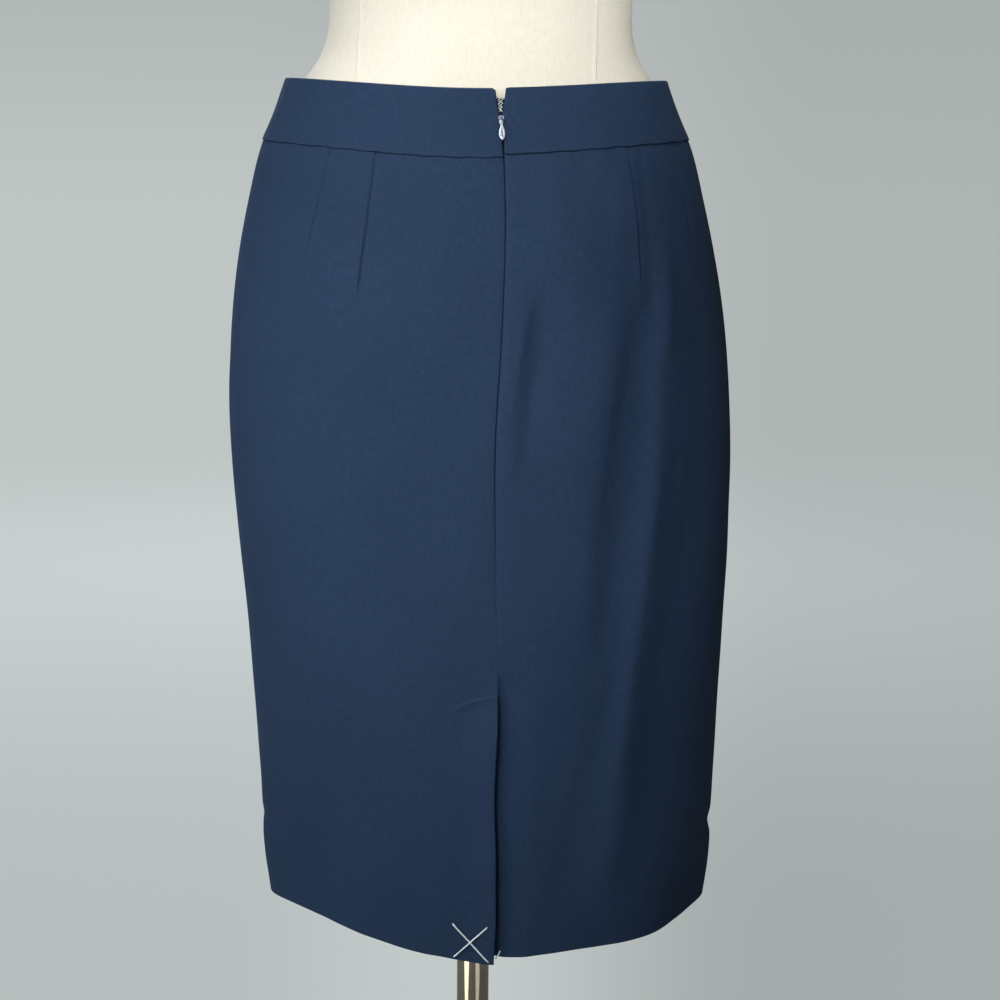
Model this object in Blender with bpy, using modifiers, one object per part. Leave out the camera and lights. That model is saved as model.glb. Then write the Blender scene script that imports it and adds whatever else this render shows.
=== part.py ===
"""A navy pencil skirt worn on a limbless dress form, which stands on a pole and a round base.

Metres, +Z up, and the floor is Z = 0. The skirt's back, with its zip and vent, faces +Y, its front
faces -Y, and the wearer's left is +X.

A point on the cloth is given by an angle and a level. The angle goes round the skirt, in degrees: 0 is
the centre back seam, +90 the left side seam, 180 the centre front, -90 the right side seam. The level
is the height above the hem, measured at the sides. A table of sections gives the skirt's outline at
each level, and a table of folds says how far the cloth stands out from it or sinks in.
"""
import math
from collections import namedtuple

import bmesh
import bpy
import numpy as np
from mathutils import Matrix, Vector

# ---------------------------------------------------------------- driving dimensions

HEM_HEIGHT = 0.420          # floor to hem, at the sides
WAIST_SEAM = 0.5735         # level of the seam between skirt and waistband
BAND_TOP = 0.616            # level of the waistband's top edge
CLOTH_WALL = 0.0016         # skirt panels: suiting
BAND_WALL = 0.0024          # waistband: suiting, interfacing and its turned edge
SEAM_GAP = 0.0003           # between pieces that are sewn together
FORM_GAP = 0.0008           # between the form's cover and the cloth that rests on it

VENT_TOP = 0.2035           # level of the vent's top
UNDERLAP = 14.6             # degrees that the underlap reaches past the centre back
UNDERLAP_SLANT = 0.0104     # how much lower its top edge is at its far end
VENT_TUCK = 0.0032          # how far the underlap lies inside the flap
TUCK_RISE = 0.020           # height over which the cloth above the vent steps in
TUCK_REACH = 13.0           # degrees over which the right back steps in
UNDERLAP_HEM = 0.0030       # how much shorter the underlap is

FLAP_DROP = 0.0023          # how much lower the flap's hem hangs at the vent
FLAP_REACH = 22.0           # degrees over which it drops
HEM_REACH = 0.080           # level above which the hem's rises don't reach

ZIP_OPEN_LEVEL = 0.5992     # the band's edges part above this level
ZIP_OPEN_HALF = 0.0031      # half the opening at the band's top
ZIP_OPEN_POWER = 0.7        # below 1 the opening widens at once, above 1 only near its top
SLIDER_LEVEL = 0.5968       # level of the pull tab's pin

POLE_RADIUS = 0.0125
BASE_RADIUS = 0.190
BASE_RIM = 0.009
SOCKET_FLOOR = 0.008
SOCKET_TOP = 0.052
COLLAR_HEIGHT = 0.030
NECK_CAP_HEIGHT = 0.014

# ---------------------------------------------------------------- tables of sections, folds and darts

# One row for each level: half the width, depth of the back half and of the front half, the outline's
# corner power (2 is an ellipse, more is squarer), how far the ring stands off to +X, how far the cloth
# has turned round the form in degrees, and how far the edge dips at the centre.
Section = namedtuple("Section", "level half_width back front corner shift turn drop")
SKIRT = [
    Section(0.0000, 0.1665, 0.1170, 0.1000, 1.78, -0.0115, 0.7, 0.0067),
    Section(0.0300, 0.1695, 0.1185, 0.1015, 1.85, -0.0112, 1.4, 0.0070),
    Section(0.0700, 0.1725, 0.1205, 0.1035, 1.94, -0.0106, 2.2, 0.0073),
    Section(0.1400, 0.1757, 0.1245, 0.1065, 2.05, -0.0094, 2.6, 0.0080),
    Section(0.2200, 0.1791, 0.1270, 0.1095, 2.15, -0.0080, 2.8, 0.0085),
    Section(0.3000, 0.1830, 0.1290, 0.1130, 2.20, -0.0056, 3.6, 0.0088),
    Section(0.3800, 0.1841, 0.1302, 0.1170, 2.20, -0.0026, 5.0, 0.0092),
    Section(0.4600, 0.1779, 0.1275, 0.1160, 2.18, -0.0008, 6.6, 0.0095),
    Section(0.5300, 0.1646, 0.1185, 0.1110, 2.15, 0.0006, 8.2, 0.0098),
    Section(0.5735, 0.1524, 0.1110, 0.1070, 2.15, 0.0010, 8.6, 0.0099),
    Section(0.5950, 0.1432, 0.1076, 0.1048, 2.15, 0.0012, 8.7, 0.0092),
    Section(0.6160, 0.1353, 0.1045, 0.1030, 2.15, 0.0012, 8.8, 0.0077),
]

# The form's cover, in the same columns. Where it would meet the skirt it gives way by FORM_GAP.
FORM = [
    Section(0.2120, 0.1480, 0.0930, 0.0840, 2.20, -0.0030, 0.0, 0.0000),
    Section(0.2180, 0.1590, 0.1030, 0.0930, 2.20, -0.0030, 0.0, 0.0020),
    Section(0.2350, 0.1690, 0.1120, 0.1000, 2.20, -0.0030, 0.0, 0.0040),
    Section(0.2700, 0.1780, 0.1210, 0.1070, 2.20, -0.0025, 0.0, 0.0080),
    Section(0.3300, 0.1860, 0.1300, 0.1170, 2.20, -0.0015, 0.0, 0.0090),
    Section(0.3900, 0.1860, 0.1320, 0.1190, 2.20, 0.0000, 0.0, 0.0092),
    Section(0.4500, 0.1790, 0.1285, 0.1165, 2.18, 0.0000, 0.0, 0.0095),
    Section(0.5000, 0.1680, 0.1205, 0.1105, 2.16, 0.0000, 0.0, 0.0097),
    Section(0.5400, 0.1570, 0.1120, 0.1050, 2.15, 0.0000, 0.0, 0.0098),
    Section(0.5735, 0.1450, 0.1050, 0.1012, 2.14, 0.0000, 0.0, 0.0099),
    Section(0.6000, 0.1325, 0.0990, 0.0985, 2.12, 0.0000, 0.0, 0.0100),
    Section(0.6160, 0.1232, 0.0958, 0.0970, 2.10, -0.0005, 0.0, 0.0090),
    Section(0.6290, 0.1143, 0.0918, 0.0950, 2.10, -0.0007, 0.0, 0.0075),
    Section(0.6430, 0.1090, 0.0882, 0.0932, 2.10, -0.0012, 0.0, 0.0060),
    Section(0.6600, 0.1068, 0.0855, 0.0920, 2.10, -0.0016, 0.0, 0.0040),
    Section(0.6850, 0.1082, 0.0862, 0.0930, 2.10, -0.0014, 0.0, 0.0015),
    Section(0.7200, 0.1135, 0.0900, 0.0960, 2.12, -0.0008, 0.0, 0.0000),
    Section(0.7700, 0.1240, 0.0965, 0.1030, 2.15, 0.0000, 0.0, 0.0000),
    Section(0.8200, 0.1340, 0.1010, 0.1135, 2.20, 0.0000, 0.0, 0.0000),
    Section(0.8600, 0.1400, 0.1040, 0.1235, 2.30, 0.0000, 0.0, 0.0000),
    Section(0.8950, 0.1435, 0.1062, 0.1275, 2.35, 0.0000, 0.0, 0.0000),
    Section(0.9300, 0.1465, 0.1078, 0.1215, 2.35, 0.0000, 0.0, 0.0000),
    Section(0.9650, 0.1510, 0.1078, 0.1095, 2.35, 0.0000, 0.0, 0.0000),
    Section(1.0050, 0.1600, 0.1050, 0.0960, 2.40, 0.0000, 0.0, 0.0000),
    Section(1.0350, 0.1665, 0.0990, 0.0855, 2.40, 0.0000, 0.0, 0.0000),
    Section(1.0580, 0.1625, 0.0890, 0.0760, 2.25, 0.0000, 0.0, 0.0000),
    Section(1.0780, 0.1430, 0.0780, 0.0695, 2.10, 0.0000, 0.0, 0.0000),
    Section(1.0950, 0.1130, 0.0690, 0.0640, 2.00, 0.0000, 0.0, 0.0000),
    Section(1.1100, 0.0830, 0.0625, 0.0600, 2.00, 0.0000, 0.0, 0.0000),
    Section(1.1260, 0.0635, 0.0580, 0.0570, 2.00, 0.0000, 0.0, 0.0000),
    Section(1.1480, 0.0560, 0.0550, 0.0550, 2.00, 0.0000, 0.0, 0.0000),
    Section(1.1700, 0.0540, 0.0540, 0.0540, 2.00, 0.0000, 0.0, 0.0000),
]

# One row for each large fold: its top and bottom level, its angle at each, half its breadth, how far it
# stands out (or sinks in), and the height over which each end dies away. A fold that reaches the hem
# runs on below it.
Fold = namedtuple("Fold", "name top bottom angle_top angle_bottom breadth lift fade")
FOLDS = [
    Fold("right back ease", 0.550, 0.140, -26.0, -24.0, 0.0450, 0.0024, 0.080),
    Fold("right back crest", 0.510, 0.030, -49.0, -36.0, 0.0120, 0.0046, 0.070),
    Fold("right back trough", 0.510, 0.130, -43.0, -31.5, 0.0105, -0.0018, 0.070),
    Fold("right back swell", 0.500, 0.150, -24.0, -21.0, 0.0260, 0.0016, 0.090),
    Fold("centre back roll", 0.490, 0.350, -2.6, -2.6, 0.0070, 0.0014, 0.030),
    Fold("centre back hollow", 0.495, 0.360, -12.0, -6.5, 0.0080, -0.0015, 0.035),
    Fold("right side swell", 0.460, -0.200, -68.0, -58.0, 0.0280, 0.0028, 0.100),
    Fold("right hem roll", 0.140, -0.200, -50.0, -50.0, 0.0300, 0.0065, 0.120),
    Fold("right hem corner", 0.080, -0.200, -82.0, -82.0, 0.0120, 0.0026, 0.060),
    Fold("left hem hollow", 0.150, -0.200, 60.0, 60.0, 0.0360, -0.0050, 0.130),
    Fold("left hem corner", 0.110, -0.200, 85.0, 85.0, 0.0180, 0.0040, 0.090),
    Fold("front left crest", 0.420, 0.040, 137.0, 146.0, 0.0150, 0.0034, 0.080),
    Fold("front left hollow", 0.190, -0.200, 128.0, 132.0, 0.0200, -0.0050, 0.100),
    Fold("front right swell", 0.460, -0.200, -141.0, -132.0, 0.0240, 0.0038, 0.100),
    Fold("front right hollow", 0.170, -0.200, -116.0, -116.0, 0.0200, -0.0055, 0.100),
]

# The hem isn't quite level: where it rises, over how many degrees, and by how much.
HemRise = namedtuple("HemRise", "angle breadth rise")
HEM_RISES = [
    HemRise(71.0, 17.0, 0.0058),
    HemRise(44.0, 15.0, 0.0030),
    HemRise(-30.0, 16.0, 0.0017),
    HemRise(-84.0, 8.0, 0.0032),
]

# The centre back seam isn't quite straight: how many degrees it stands off at each level.
Wander = namedtuple("Wander", "level away")
SEAM_WANDER = [
    Wander(0.0000, -1.10), Wander(0.0300, -1.05), Wander(0.0600, -0.50), Wander(0.0900, -0.10),
    Wander(0.1300, 0.25), Wander(0.1600, -0.30), Wander(0.2035, -1.00), Wander(0.2470, -0.65),
    Wander(0.2860, -0.30), Wander(0.3250, 0.12), Wander(0.3630, 0.40), Wander(0.4010, 0.30),
    Wander(0.4400, -0.43), Wander(0.4750, -0.83), Wander(0.5130, -1.12), Wander(0.5520, -1.15),
    Wander(0.5735, -0.85), Wander(0.5860, -0.45), Wander(0.5968, 0.00), Wander(0.6160, 0.00),
]
WANDER_REACH = 30.0         # degrees from the seam at which the cloth hardly follows it

# One row for each dart: its angle, the level of its point, and the groove along its stitches.
Dart = namedtuple("Dart", "name angle point groove half_groove")
DARTS = [
    Dart("back inner left", 42.5, 0.481, 0.0006, 0.0026),
    Dart("back outer left", 59.0, 0.498, 0.0005, 0.0026),
    Dart("back inner right", -42.5, 0.484, 0.0006, 0.0026),
    Dart("back outer right", -59.0, 0.498, 0.0005, 0.0026),
    Dart("front inner left", 141.0, 0.494, 0.0005, 0.0026),
    Dart("front outer left", 121.0, 0.506, 0.0005, 0.0026),
    Dart("front inner right", -141.0, 0.494, 0.0005, 0.0026),
    Dart("front outer right", -121.0, 0.506, 0.0005, 0.0026),
]
DART_FADE = 0.030

SKIRT_LEVELS = [0.0, 0.014, 0.032, 0.054, 0.080, 0.106, 0.132, 0.158, 0.182, VENT_TOP, VENT_TOP + 0.010,
                VENT_TOP + TUCK_RISE, 0.248, 0.274, 0.302, 0.332, 0.362, 0.392, 0.420, 0.446, 0.470, 0.492,
                0.512, 0.534, 0.556, WAIST_SEAM - SEAM_GAP / 2]
BAND_LEVELS = [WAIST_SEAM + SEAM_GAP / 2, 0.582, 0.591, ZIP_OPEN_LEVEL, 0.603, 0.609, BAND_TOP]
COLUMN_STEP = 6.0           # degrees between a smooth piece's columns
FOLDED_STEP = 3.75          # and between those of the right back, which carries the folds
DART_COLUMN = 1.2

# ---------------------------------------------------------------- the cloth's form


def smooth(value):
    """Goes softly from 0 to 1 as the value does, and stays there."""
    u = np.clip(value, 0.0, 1.0)
    return u * u * (3.0 - 2.0 * u)


def column(table, name, level):
    """Reads one column of a table at any level, along a smooth curve through its rows."""
    levels = np.array([row.level for row in table])
    values = np.array([getattr(row, name) for row in table])
    slopes = np.gradient(values, levels)
    low = np.clip(np.searchsorted(levels, level, side="right") - 1, 0, len(levels) - 2)
    span = levels[low + 1] - levels[low]
    u = np.clip((level - levels[low]) / span, 0.0, 1.0)
    start = (2.0 * u**3 - 3.0 * u**2 + 1.0) * values[low] + (u**3 - 2.0 * u**2 + u) * span * slopes[low]
    end = (3.0 * u**2 - 2.0 * u**3) * values[low + 1] + (u**3 - u**2) * span * slopes[low + 1]
    return start + end


def outline_radius(table, heading, level):
    """Distance from a ring's middle to its outline, in the direction of a heading from +Y towards +X."""
    across = np.sin(heading)
    along = np.cos(heading)
    depth = np.where(along >= 0.0, column(table, "back", level), column(table, "front", level))
    power = column(table, "corner", level)
    sides = np.abs(across / column(table, "half_width", level)) ** power
    ends = np.abs(along / depth) ** power
    return (sides + ends) ** (-1.0 / power)


def turned(angle, level):
    """Heading, in radians, of a cloth angle, once the skirt has turned round the form."""
    return np.radians(angle - column(SKIRT, "turn", level))


def fold_lift(angle, level):
    """How far the folds carry the cloth out from the section's outline."""
    lift = np.zeros(np.broadcast(angle, level).shape)
    radius = outline_radius(SKIRT, turned(angle, level), level)
    for fold in FOLDS:
        share = np.clip((fold.top - level) / (fold.top - max(fold.bottom, 0.0)), 0.0, 1.0)
        crest = fold.angle_top + (fold.angle_bottom - fold.angle_top) * share
        distance = np.radians(round_away(angle, crest)) * radius / fold.breadth
        ends = smooth((fold.top - level) / fold.fade) * smooth((level - fold.bottom) / fold.fade)
        lift = lift + fold.lift * ends * np.exp(-distance**2)
    return lift


def dart_groove(angle, level):
    """Depth of the groove that each dart's stitches pull into the cloth."""
    groove = np.zeros(np.broadcast(angle, level).shape)
    radius = outline_radius(SKIRT, turned(angle, level), level)
    for dart in DARTS:
        away = round_away(angle, dart.angle)
        distance = np.abs(np.radians(away)) * radius / dart.half_groove
        length = smooth((level - dart.point) / DART_FADE)
        groove = groove + dart.groove * length * np.clip(1.0 - distance, 0.0, 1.0)
    return groove


def round_away(angle, middle):
    """Degrees from a middle angle, the short way round."""
    return (angle - middle + 180.0) % 360.0 - 180.0


def seam_wander(angle, level):
    """Degrees by which the cloth near the centre back seam stands off to one side."""
    return column(SEAM_WANDER, "away", level) * np.exp(-(round_away(angle, 0.0) / WANDER_REACH) ** 2)


def hem_rise(angle, level):
    """How much higher the cloth near the hem hangs than its own level."""
    rise = np.zeros(np.broadcast(angle, level).shape)
    for row in HEM_RISES:
        rise = rise + row.rise * np.exp(-(round_away(angle, row.angle) / row.breadth) ** 2)
    return rise * smooth(1.0 - level / HEM_REACH)


def cloth(angle, level, lift):
    """Points on the skirt's section rings, moved out by a lift, as an array with X, Y and Z last."""
    heading = turned(angle, level) + np.radians(seam_wander(angle, level))
    radius = outline_radius(SKIRT, heading, level) + lift
    x = column(SKIRT, "shift", level) + radius * np.sin(heading)
    y = radius * np.cos(heading)
    z = HEM_HEIGHT + level - column(SKIRT, "drop", level) * np.cos(heading) ** 2
    return np.stack(np.broadcast_arrays(x, y, z), axis=-1)


def seam_angles(angles, level):
    """One row of a piece's angles, with its first and last angle moved in by half the seam's gap."""
    row = np.array(angles, dtype=float)
    for edge, inward in ((0, 1.0), (-1, -1.0)):
        radius = float(outline_radius(SKIRT, turned(row[edge], level), level))
        row[edge] += inward * math.degrees(SEAM_GAP / 2 / radius)
    return row


def panel_columns(start, end, step):
    """Angles of a panel's columns: even steps from seam to seam, and three close ones at each dart."""
    count = round((end - start) / step)
    angles = list(np.linspace(start, end, count + 1))
    for dart in DARTS:
        middle = dart.angle if dart.angle > start else dart.angle + 360.0
        if not start < middle < end:
            continue
        angles = [angle for angle in angles if abs(angle - middle) > 1.9 * DART_COLUMN]
        angles += [middle - DART_COLUMN, middle, middle + DART_COLUMN]
    return sorted(angles)


# ---------------------------------------------------------------- materials and objects

FINISHES = {
    "navy_suiting": ((0.022, 0.036, 0.070, 1.0), 0.82, 0.0),
    "zip_metal": ((0.55, 0.58, 0.63, 1.0), 0.30, 1.0),
    "form_cover": ((0.86, 0.80, 0.68, 1.0), 0.75, 0.0),
    "cap_wood": ((0.36, 0.22, 0.12, 1.0), 0.50, 0.0),
    "pole_nickel": ((0.52, 0.47, 0.40, 1.0), 0.28, 1.0),
    "base_metal": ((0.48, 0.46, 0.43, 1.0), 0.38, 1.0),
}


def make_material(name, finish):
    """A Principled material with a finish's colour, roughness and metallic value."""
    colour, roughness, metallic = FINISHES[finish]
    material = bpy.data.materials.new(name)
    material.use_nodes = True
    shader = material.node_tree.nodes["Principled BSDF"]
    shader.inputs["Base Color"].default_value = colour
    shader.inputs["Roughness"].default_value = roughness
    shader.inputs["Metallic"].default_value = metallic
    material.diffuse_color = colour
    return material


def finish_object(obj, finish, collection):
    """Puts an object in its collection and gives it its own material."""
    for owner in list(obj.users_collection):
        owner.objects.unlink(obj)
    collection.objects.link(obj)
    obj.data.materials.clear()
    obj.data.materials.append(make_material(obj.name, finish))
    return obj


def grid_object(name, points, kept=None):
    """An open surface over a grid of points, rows going up, that faces away from the form.

    A cell is left out where kept, an array with a value for each cell, is false.
    """
    rows, columns = points.shape[:2]
    mesh = bpy.data.meshes.new(name)
    faces = []
    for row in range(rows - 1):
        for place in range(columns - 1):
            if kept is None or kept[row, place]:
                corner = row * columns + place
                faces.append((corner, corner + columns, corner + columns + 1, corner + 1))
    mesh.from_pydata(points.reshape(-1, 3).tolist(), [], faces)
    bm = bmesh.new()
    bm.from_mesh(mesh)
    loose = [vertex for vertex in bm.verts if not vertex.link_faces]
    bmesh.ops.delete(bm, geom=loose, context="VERTS")
    bm.to_mesh(mesh)
    bm.free()
    return bpy.data.objects.new(name, mesh)


def add_wall(obj, thickness):
    """Turns an open surface into a closed wall that grows outward from it."""
    wall = obj.modifiers.new("Wall", "SOLIDIFY")
    wall.thickness = thickness
    wall.offset = 1.0
    wall.use_rim = True
    return obj


def turned_object(name, profile, sides):
    """A closed solid of revolution about Z, from a profile of (radius, height) points."""
    mesh = bpy.data.meshes.new(name)
    vertices = [(radius, 0.0, height) for radius, height in profile]
    edges = [(index, index + 1) for index in range(len(profile) - 1)]
    mesh.from_pydata(vertices, edges, [])
    obj = bpy.data.objects.new(name, mesh)
    screw = obj.modifiers.new("Turn", "SCREW")
    screw.steps = sides
    screw.render_steps = sides
    screw.use_merge_vertices = True
    screw.merge_threshold = 0.00001
    screw.use_normal_calculate = True
    return obj


def boolean(target, tool, operation):
    """Joins a tool to a target or cuts it out, bakes the result into the target and drops the tool."""
    modifier = target.modifiers.new("Shape", "BOOLEAN")
    modifier.operation = operation
    modifier.solver = "EXACT"
    modifier.object = tool
    bpy.context.view_layer.update()
    evaluated = target.evaluated_get(bpy.context.evaluated_depsgraph_get())
    mesh = bpy.data.meshes.new_from_object(evaluated)
    target.modifiers.clear()
    target.data = mesh
    bpy.data.objects.remove(tool)
    return target


def block(name, low, high, collection):
    """A box between two corners, with its sizes baked into its mesh."""
    bm = bmesh.new()
    bmesh.ops.create_cube(bm, size=1.0)
    low = Vector(low)
    high = Vector(high)
    size = high - low
    bmesh.ops.transform(bm, matrix=Matrix.Translation((low + high) / 2) @ Matrix.Diagonal((*size, 1.0)),
                        verts=bm.verts)
    mesh = bpy.data.meshes.new(name)
    bm.to_mesh(mesh)
    bm.free()
    obj = bpy.data.objects.new(name, mesh)
    collection.objects.link(obj)
    return obj


def rod(name, radius, half_length, centre, collection, sides=20):
    """A cylinder that lies along X."""
    bm = bmesh.new()
    bmesh.ops.create_cone(bm, cap_ends=True, segments=sides, radius1=radius, radius2=radius,
                          depth=2 * half_length)
    bmesh.ops.transform(bm, matrix=Matrix.Translation(centre) @ Matrix.Rotation(math.pi / 2, 4, "Y"),
                        verts=bm.verts)
    mesh = bpy.data.meshes.new(name)
    bm.to_mesh(mesh)
    bm.free()
    obj = bpy.data.objects.new(name, mesh)
    collection.objects.link(obj)
    return obj


# ---------------------------------------------------------------- skirt panels


def panel_points(angles, levels, extra_lift):
    """The inner face of a panel: its grid of angles and levels, with folds, darts and a lift of its own."""
    lift = fold_lift(angles, levels) - dart_groove(angles, levels) - CLOTH_WALL + extra_lift
    return cloth(angles, levels, lift)


def skirt_front(collection):
    """The front panel, from the left side seam round to the right one."""
    columns = panel_columns(90.0, 270.0, COLUMN_STEP)
    angles = np.array([seam_angles(columns, level) for level in SKIRT_LEVELS])
    levels = np.array(SKIRT_LEVELS)[:, None] * np.ones_like(angles)
    levels = levels + hem_rise(angles, levels)
    obj = add_wall(grid_object("skirt_front", panel_points(angles, levels, 0.0)), CLOTH_WALL)
    return finish_object(obj, "navy_suiting", collection)


def skirt_back_left(collection):
    """The left back panel. Below the vent's top its centre edge is the flap that lies on top."""
    columns = panel_columns(0.0, 90.0, COLUMN_STEP)
    angles = np.array([seam_angles(columns, level) for level in SKIRT_LEVELS])
    levels = np.array(SKIRT_LEVELS)[:, None] * np.ones_like(angles)
    drop = FLAP_DROP * smooth(1.0 - angles / FLAP_REACH) * smooth(1.0 - levels / HEM_REACH)
    levels = levels + hem_rise(angles, levels) - drop
    obj = add_wall(grid_object("skirt_back_left", panel_points(angles, levels, 0.0)), CLOTH_WALL)
    return finish_object(obj, "navy_suiting", collection)


def skirt_back_right(collection):
    """The right back panel, whose underlap reaches past the centre back, inside the flap."""
    own_columns = panel_columns(-90.0, 0.0, FOLDED_STEP)
    lap_columns = UNDERLAP * np.array([0.12, 0.5, 1.0])
    own = np.array([seam_angles(own_columns, level) for level in SKIRT_LEVELS])
    angles = np.hstack([own, np.tile(lap_columns, (len(SKIRT_LEVELS), 1))])
    levels = np.array(SKIRT_LEVELS)[:, None] * np.ones_like(angles)
    slant = 1.0 - UNDERLAP_SLANT / VENT_TOP * np.clip(angles / UNDERLAP, 0.0, 1.0)
    shorter = UNDERLAP_HEM * smooth(1.0 + angles / 30.0) * smooth(1.0 - levels / 0.08)
    levels = levels * slant + shorter + hem_rise(angles, levels)
    tuck = VENT_TUCK * smooth((VENT_TOP + TUCK_RISE - levels) / TUCK_RISE) * smooth(1.0 + angles / TUCK_REACH)
    tuck = np.where(angles > 0.0, VENT_TUCK, tuck)
    kept = np.ones((len(SKIRT_LEVELS) - 1, angles.shape[1] - 1), dtype=bool)
    kept[SKIRT_LEVELS.index(VENT_TOP):, len(own_columns) - 1:] = False
    obj = add_wall(grid_object("skirt_back_right", panel_points(angles, levels, -tuck), kept), CLOTH_WALL)
    return finish_object(obj, "navy_suiting", collection)


# ---------------------------------------------------------------- waistband


def band_piece(name, start, end, open_edge, collection):
    """One length of the waistband. The edge at the centre back bends away above the zip."""
    count = round((end - start) / COLUMN_STEP)
    columns = np.linspace(start, end, count + 1)
    angles = np.array([seam_angles(columns, level) for level in BAND_LEVELS])
    levels = np.array(BAND_LEVELS)[:, None] * np.ones_like(angles)
    if open_edge is not None:
        inward = 1.0 if open_edge == 0 else -1.0
        opened = np.clip((levels[:, 0] - ZIP_OPEN_LEVEL) / (BAND_TOP - ZIP_OPEN_LEVEL), 0.0, 1.0)
        radius = outline_radius(SKIRT, turned(0.0, levels[:, 0]), levels[:, 0])
        angles[:, open_edge] += inward * np.degrees(ZIP_OPEN_HALF * opened**ZIP_OPEN_POWER / radius)
    obj = add_wall(grid_object(name, cloth(angles, levels, -CLOTH_WALL)), BAND_WALL)
    return finish_object(obj, "navy_suiting", collection)


def waistband(collection):
    """The waistband's front and its two back pieces."""
    band_piece("waistband_front", 90.0, 270.0, None, collection)
    band_piece("waistband_back_left", 0.0, 90.0, 0, collection)
    band_piece("waistband_back_right", -90.0, 0.0, -1, collection)


# ---------------------------------------------------------------- zip slider and pull tab

# The slider's own axes: X along the band, Y out from it, Z up it. Its origin is on the band's face.
PLATE_LOW = (-0.0019, 0.0003, -0.0034)
PLATE_HIGH = (0.0019, 0.0012, 0.0026)
CHEEK_INNER = 0.0013        # half the space between the cheeks
CHEEK_OUTER = 0.0019
CHEEK_TOP = 0.0031          # how far the cheeks stand out
CHEEK_HALF = 0.0010
PIN_OUT = 0.0022            # from the band's face to the pull's pin
PIN_RADIUS = 0.00040
EYE_HOLE = 0.00048
EYE_RADIUS = 0.00085
CROWN_LOW = 0.0012
CROWN_HIGH = 0.0022

# The pull tab's outline: how far below its pin, and half its width there.
Outline = namedtuple("Outline", "below half_width")
PULL = [
    Outline(0.0000, 0.00095),
    Outline(0.0024, 0.00095),
    Outline(0.0044, 0.00105),
    Outline(0.0060, 0.00145),
    Outline(0.0076, 0.00190),
    Outline(0.0092, 0.00215),
    Outline(0.0108, 0.00208),
    Outline(0.0123, 0.00158),
    Outline(0.0133, 0.00085),
]
PULL_TIP = 0.0138
PULL_HALF_THICK = 0.00045
SLOT_TOP = 0.0058
SLOT_END = 0.0118
SLOT_HALF = 0.00050


def zip_frame():
    """Place of the slider: on the band's face at the centre back, turned to the band's own slope."""
    step = 0.002
    face = BAND_WALL - CLOTH_WALL
    origin = Vector(cloth(0.0, SLIDER_LEVEL, face))
    above = Vector(cloth(0.0, SLIDER_LEVEL + step, face))
    below = Vector(cloth(0.0, SLIDER_LEVEL - step, face))
    up = (above - below).normalized()
    along = Vector(cloth(1.0, SLIDER_LEVEL, face)) - Vector(cloth(-1.0, SLIDER_LEVEL, face))
    along = (along - up * along.dot(up)).normalized()
    out = up.cross(along)
    turn = Matrix((along, out, up)).transposed().to_4x4()
    return Matrix.Translation(origin) @ turn


def zip_slider(place, collection):
    """The slider: a plate on the seam, two cheeks with a pin between them, and its crown."""
    slider = block("zip_slider", PLATE_LOW, PLATE_HIGH, collection)
    for side in (-1.0, 1.0):
        near, far = sorted((side * CHEEK_INNER, side * CHEEK_OUTER))
        cheek_low = (near, 0.0008, -CHEEK_HALF)
        cheek_high = (far, CHEEK_TOP, CROWN_HIGH - 0.0002)
        cheek = block("cheek", cheek_low, cheek_high, collection)
        boolean(slider, cheek, "UNION")
    crown_low = (-CHEEK_OUTER + 0.0001, 0.0007, CROWN_LOW)
    crown_high = (CHEEK_OUTER - 0.0001, CHEEK_TOP - 0.0002, CROWN_HIGH)
    crown = block("crown", crown_low, crown_high, collection)
    boolean(slider, crown, "UNION")
    pin = rod("pin", PIN_RADIUS, (CHEEK_INNER + CHEEK_OUTER) / 2, (0.0, PIN_OUT, 0.0), collection, sides=16)
    boolean(slider, pin, "UNION")
    slider.parent = place
    return finish_object(slider, "zip_metal", collection)


def zip_pull(place, collection):
    """The pull tab: a teardrop with a slot, on an eye round the slider's pin. It hangs from its origin."""
    right = [(row.half_width, -row.below) for row in PULL]
    left = [(-row.half_width, -row.below) for row in reversed(PULL)]
    outline = right + [(0.0, -PULL_TIP)] + left
    bm = bmesh.new()
    vertices = [bm.verts.new((x, -PULL_HALF_THICK, z)) for x, z in outline]
    face = bm.faces.new(vertices)
    grown = bmesh.ops.extrude_face_region(bm, geom=[face])
    moved = [item for item in grown["geom"] if isinstance(item, bmesh.types.BMVert)]
    bmesh.ops.translate(bm, vec=(0.0, 2 * PULL_HALF_THICK, 0.0), verts=moved)
    bmesh.ops.recalc_face_normals(bm, faces=bm.faces)
    mesh = bpy.data.meshes.new("zip_pull")
    bm.to_mesh(mesh)
    bm.free()
    pull = bpy.data.objects.new("zip_pull", mesh)
    collection.objects.link(pull)
    eye = rod("eye", EYE_RADIUS, 0.00095, (0.0, 0.0, 0.0), collection, sides=20)
    boolean(pull, eye, "UNION")
    hole = rod("hole", EYE_HOLE, 0.002, (0.0, 0.0, 0.0), collection, sides=16)
    boolean(pull, hole, "DIFFERENCE")
    slot = block("slot", (-SLOT_HALF, -0.002, -SLOT_END), (SLOT_HALF, 0.002, -SLOT_TOP), collection)
    boolean(pull, slot, "DIFFERENCE")
    pull.parent = place
    pull.location = (0.0, PIN_OUT, 0.0)
    return finish_object(pull, "zip_metal", collection)


# ---------------------------------------------------------------- dress form and stand


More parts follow.
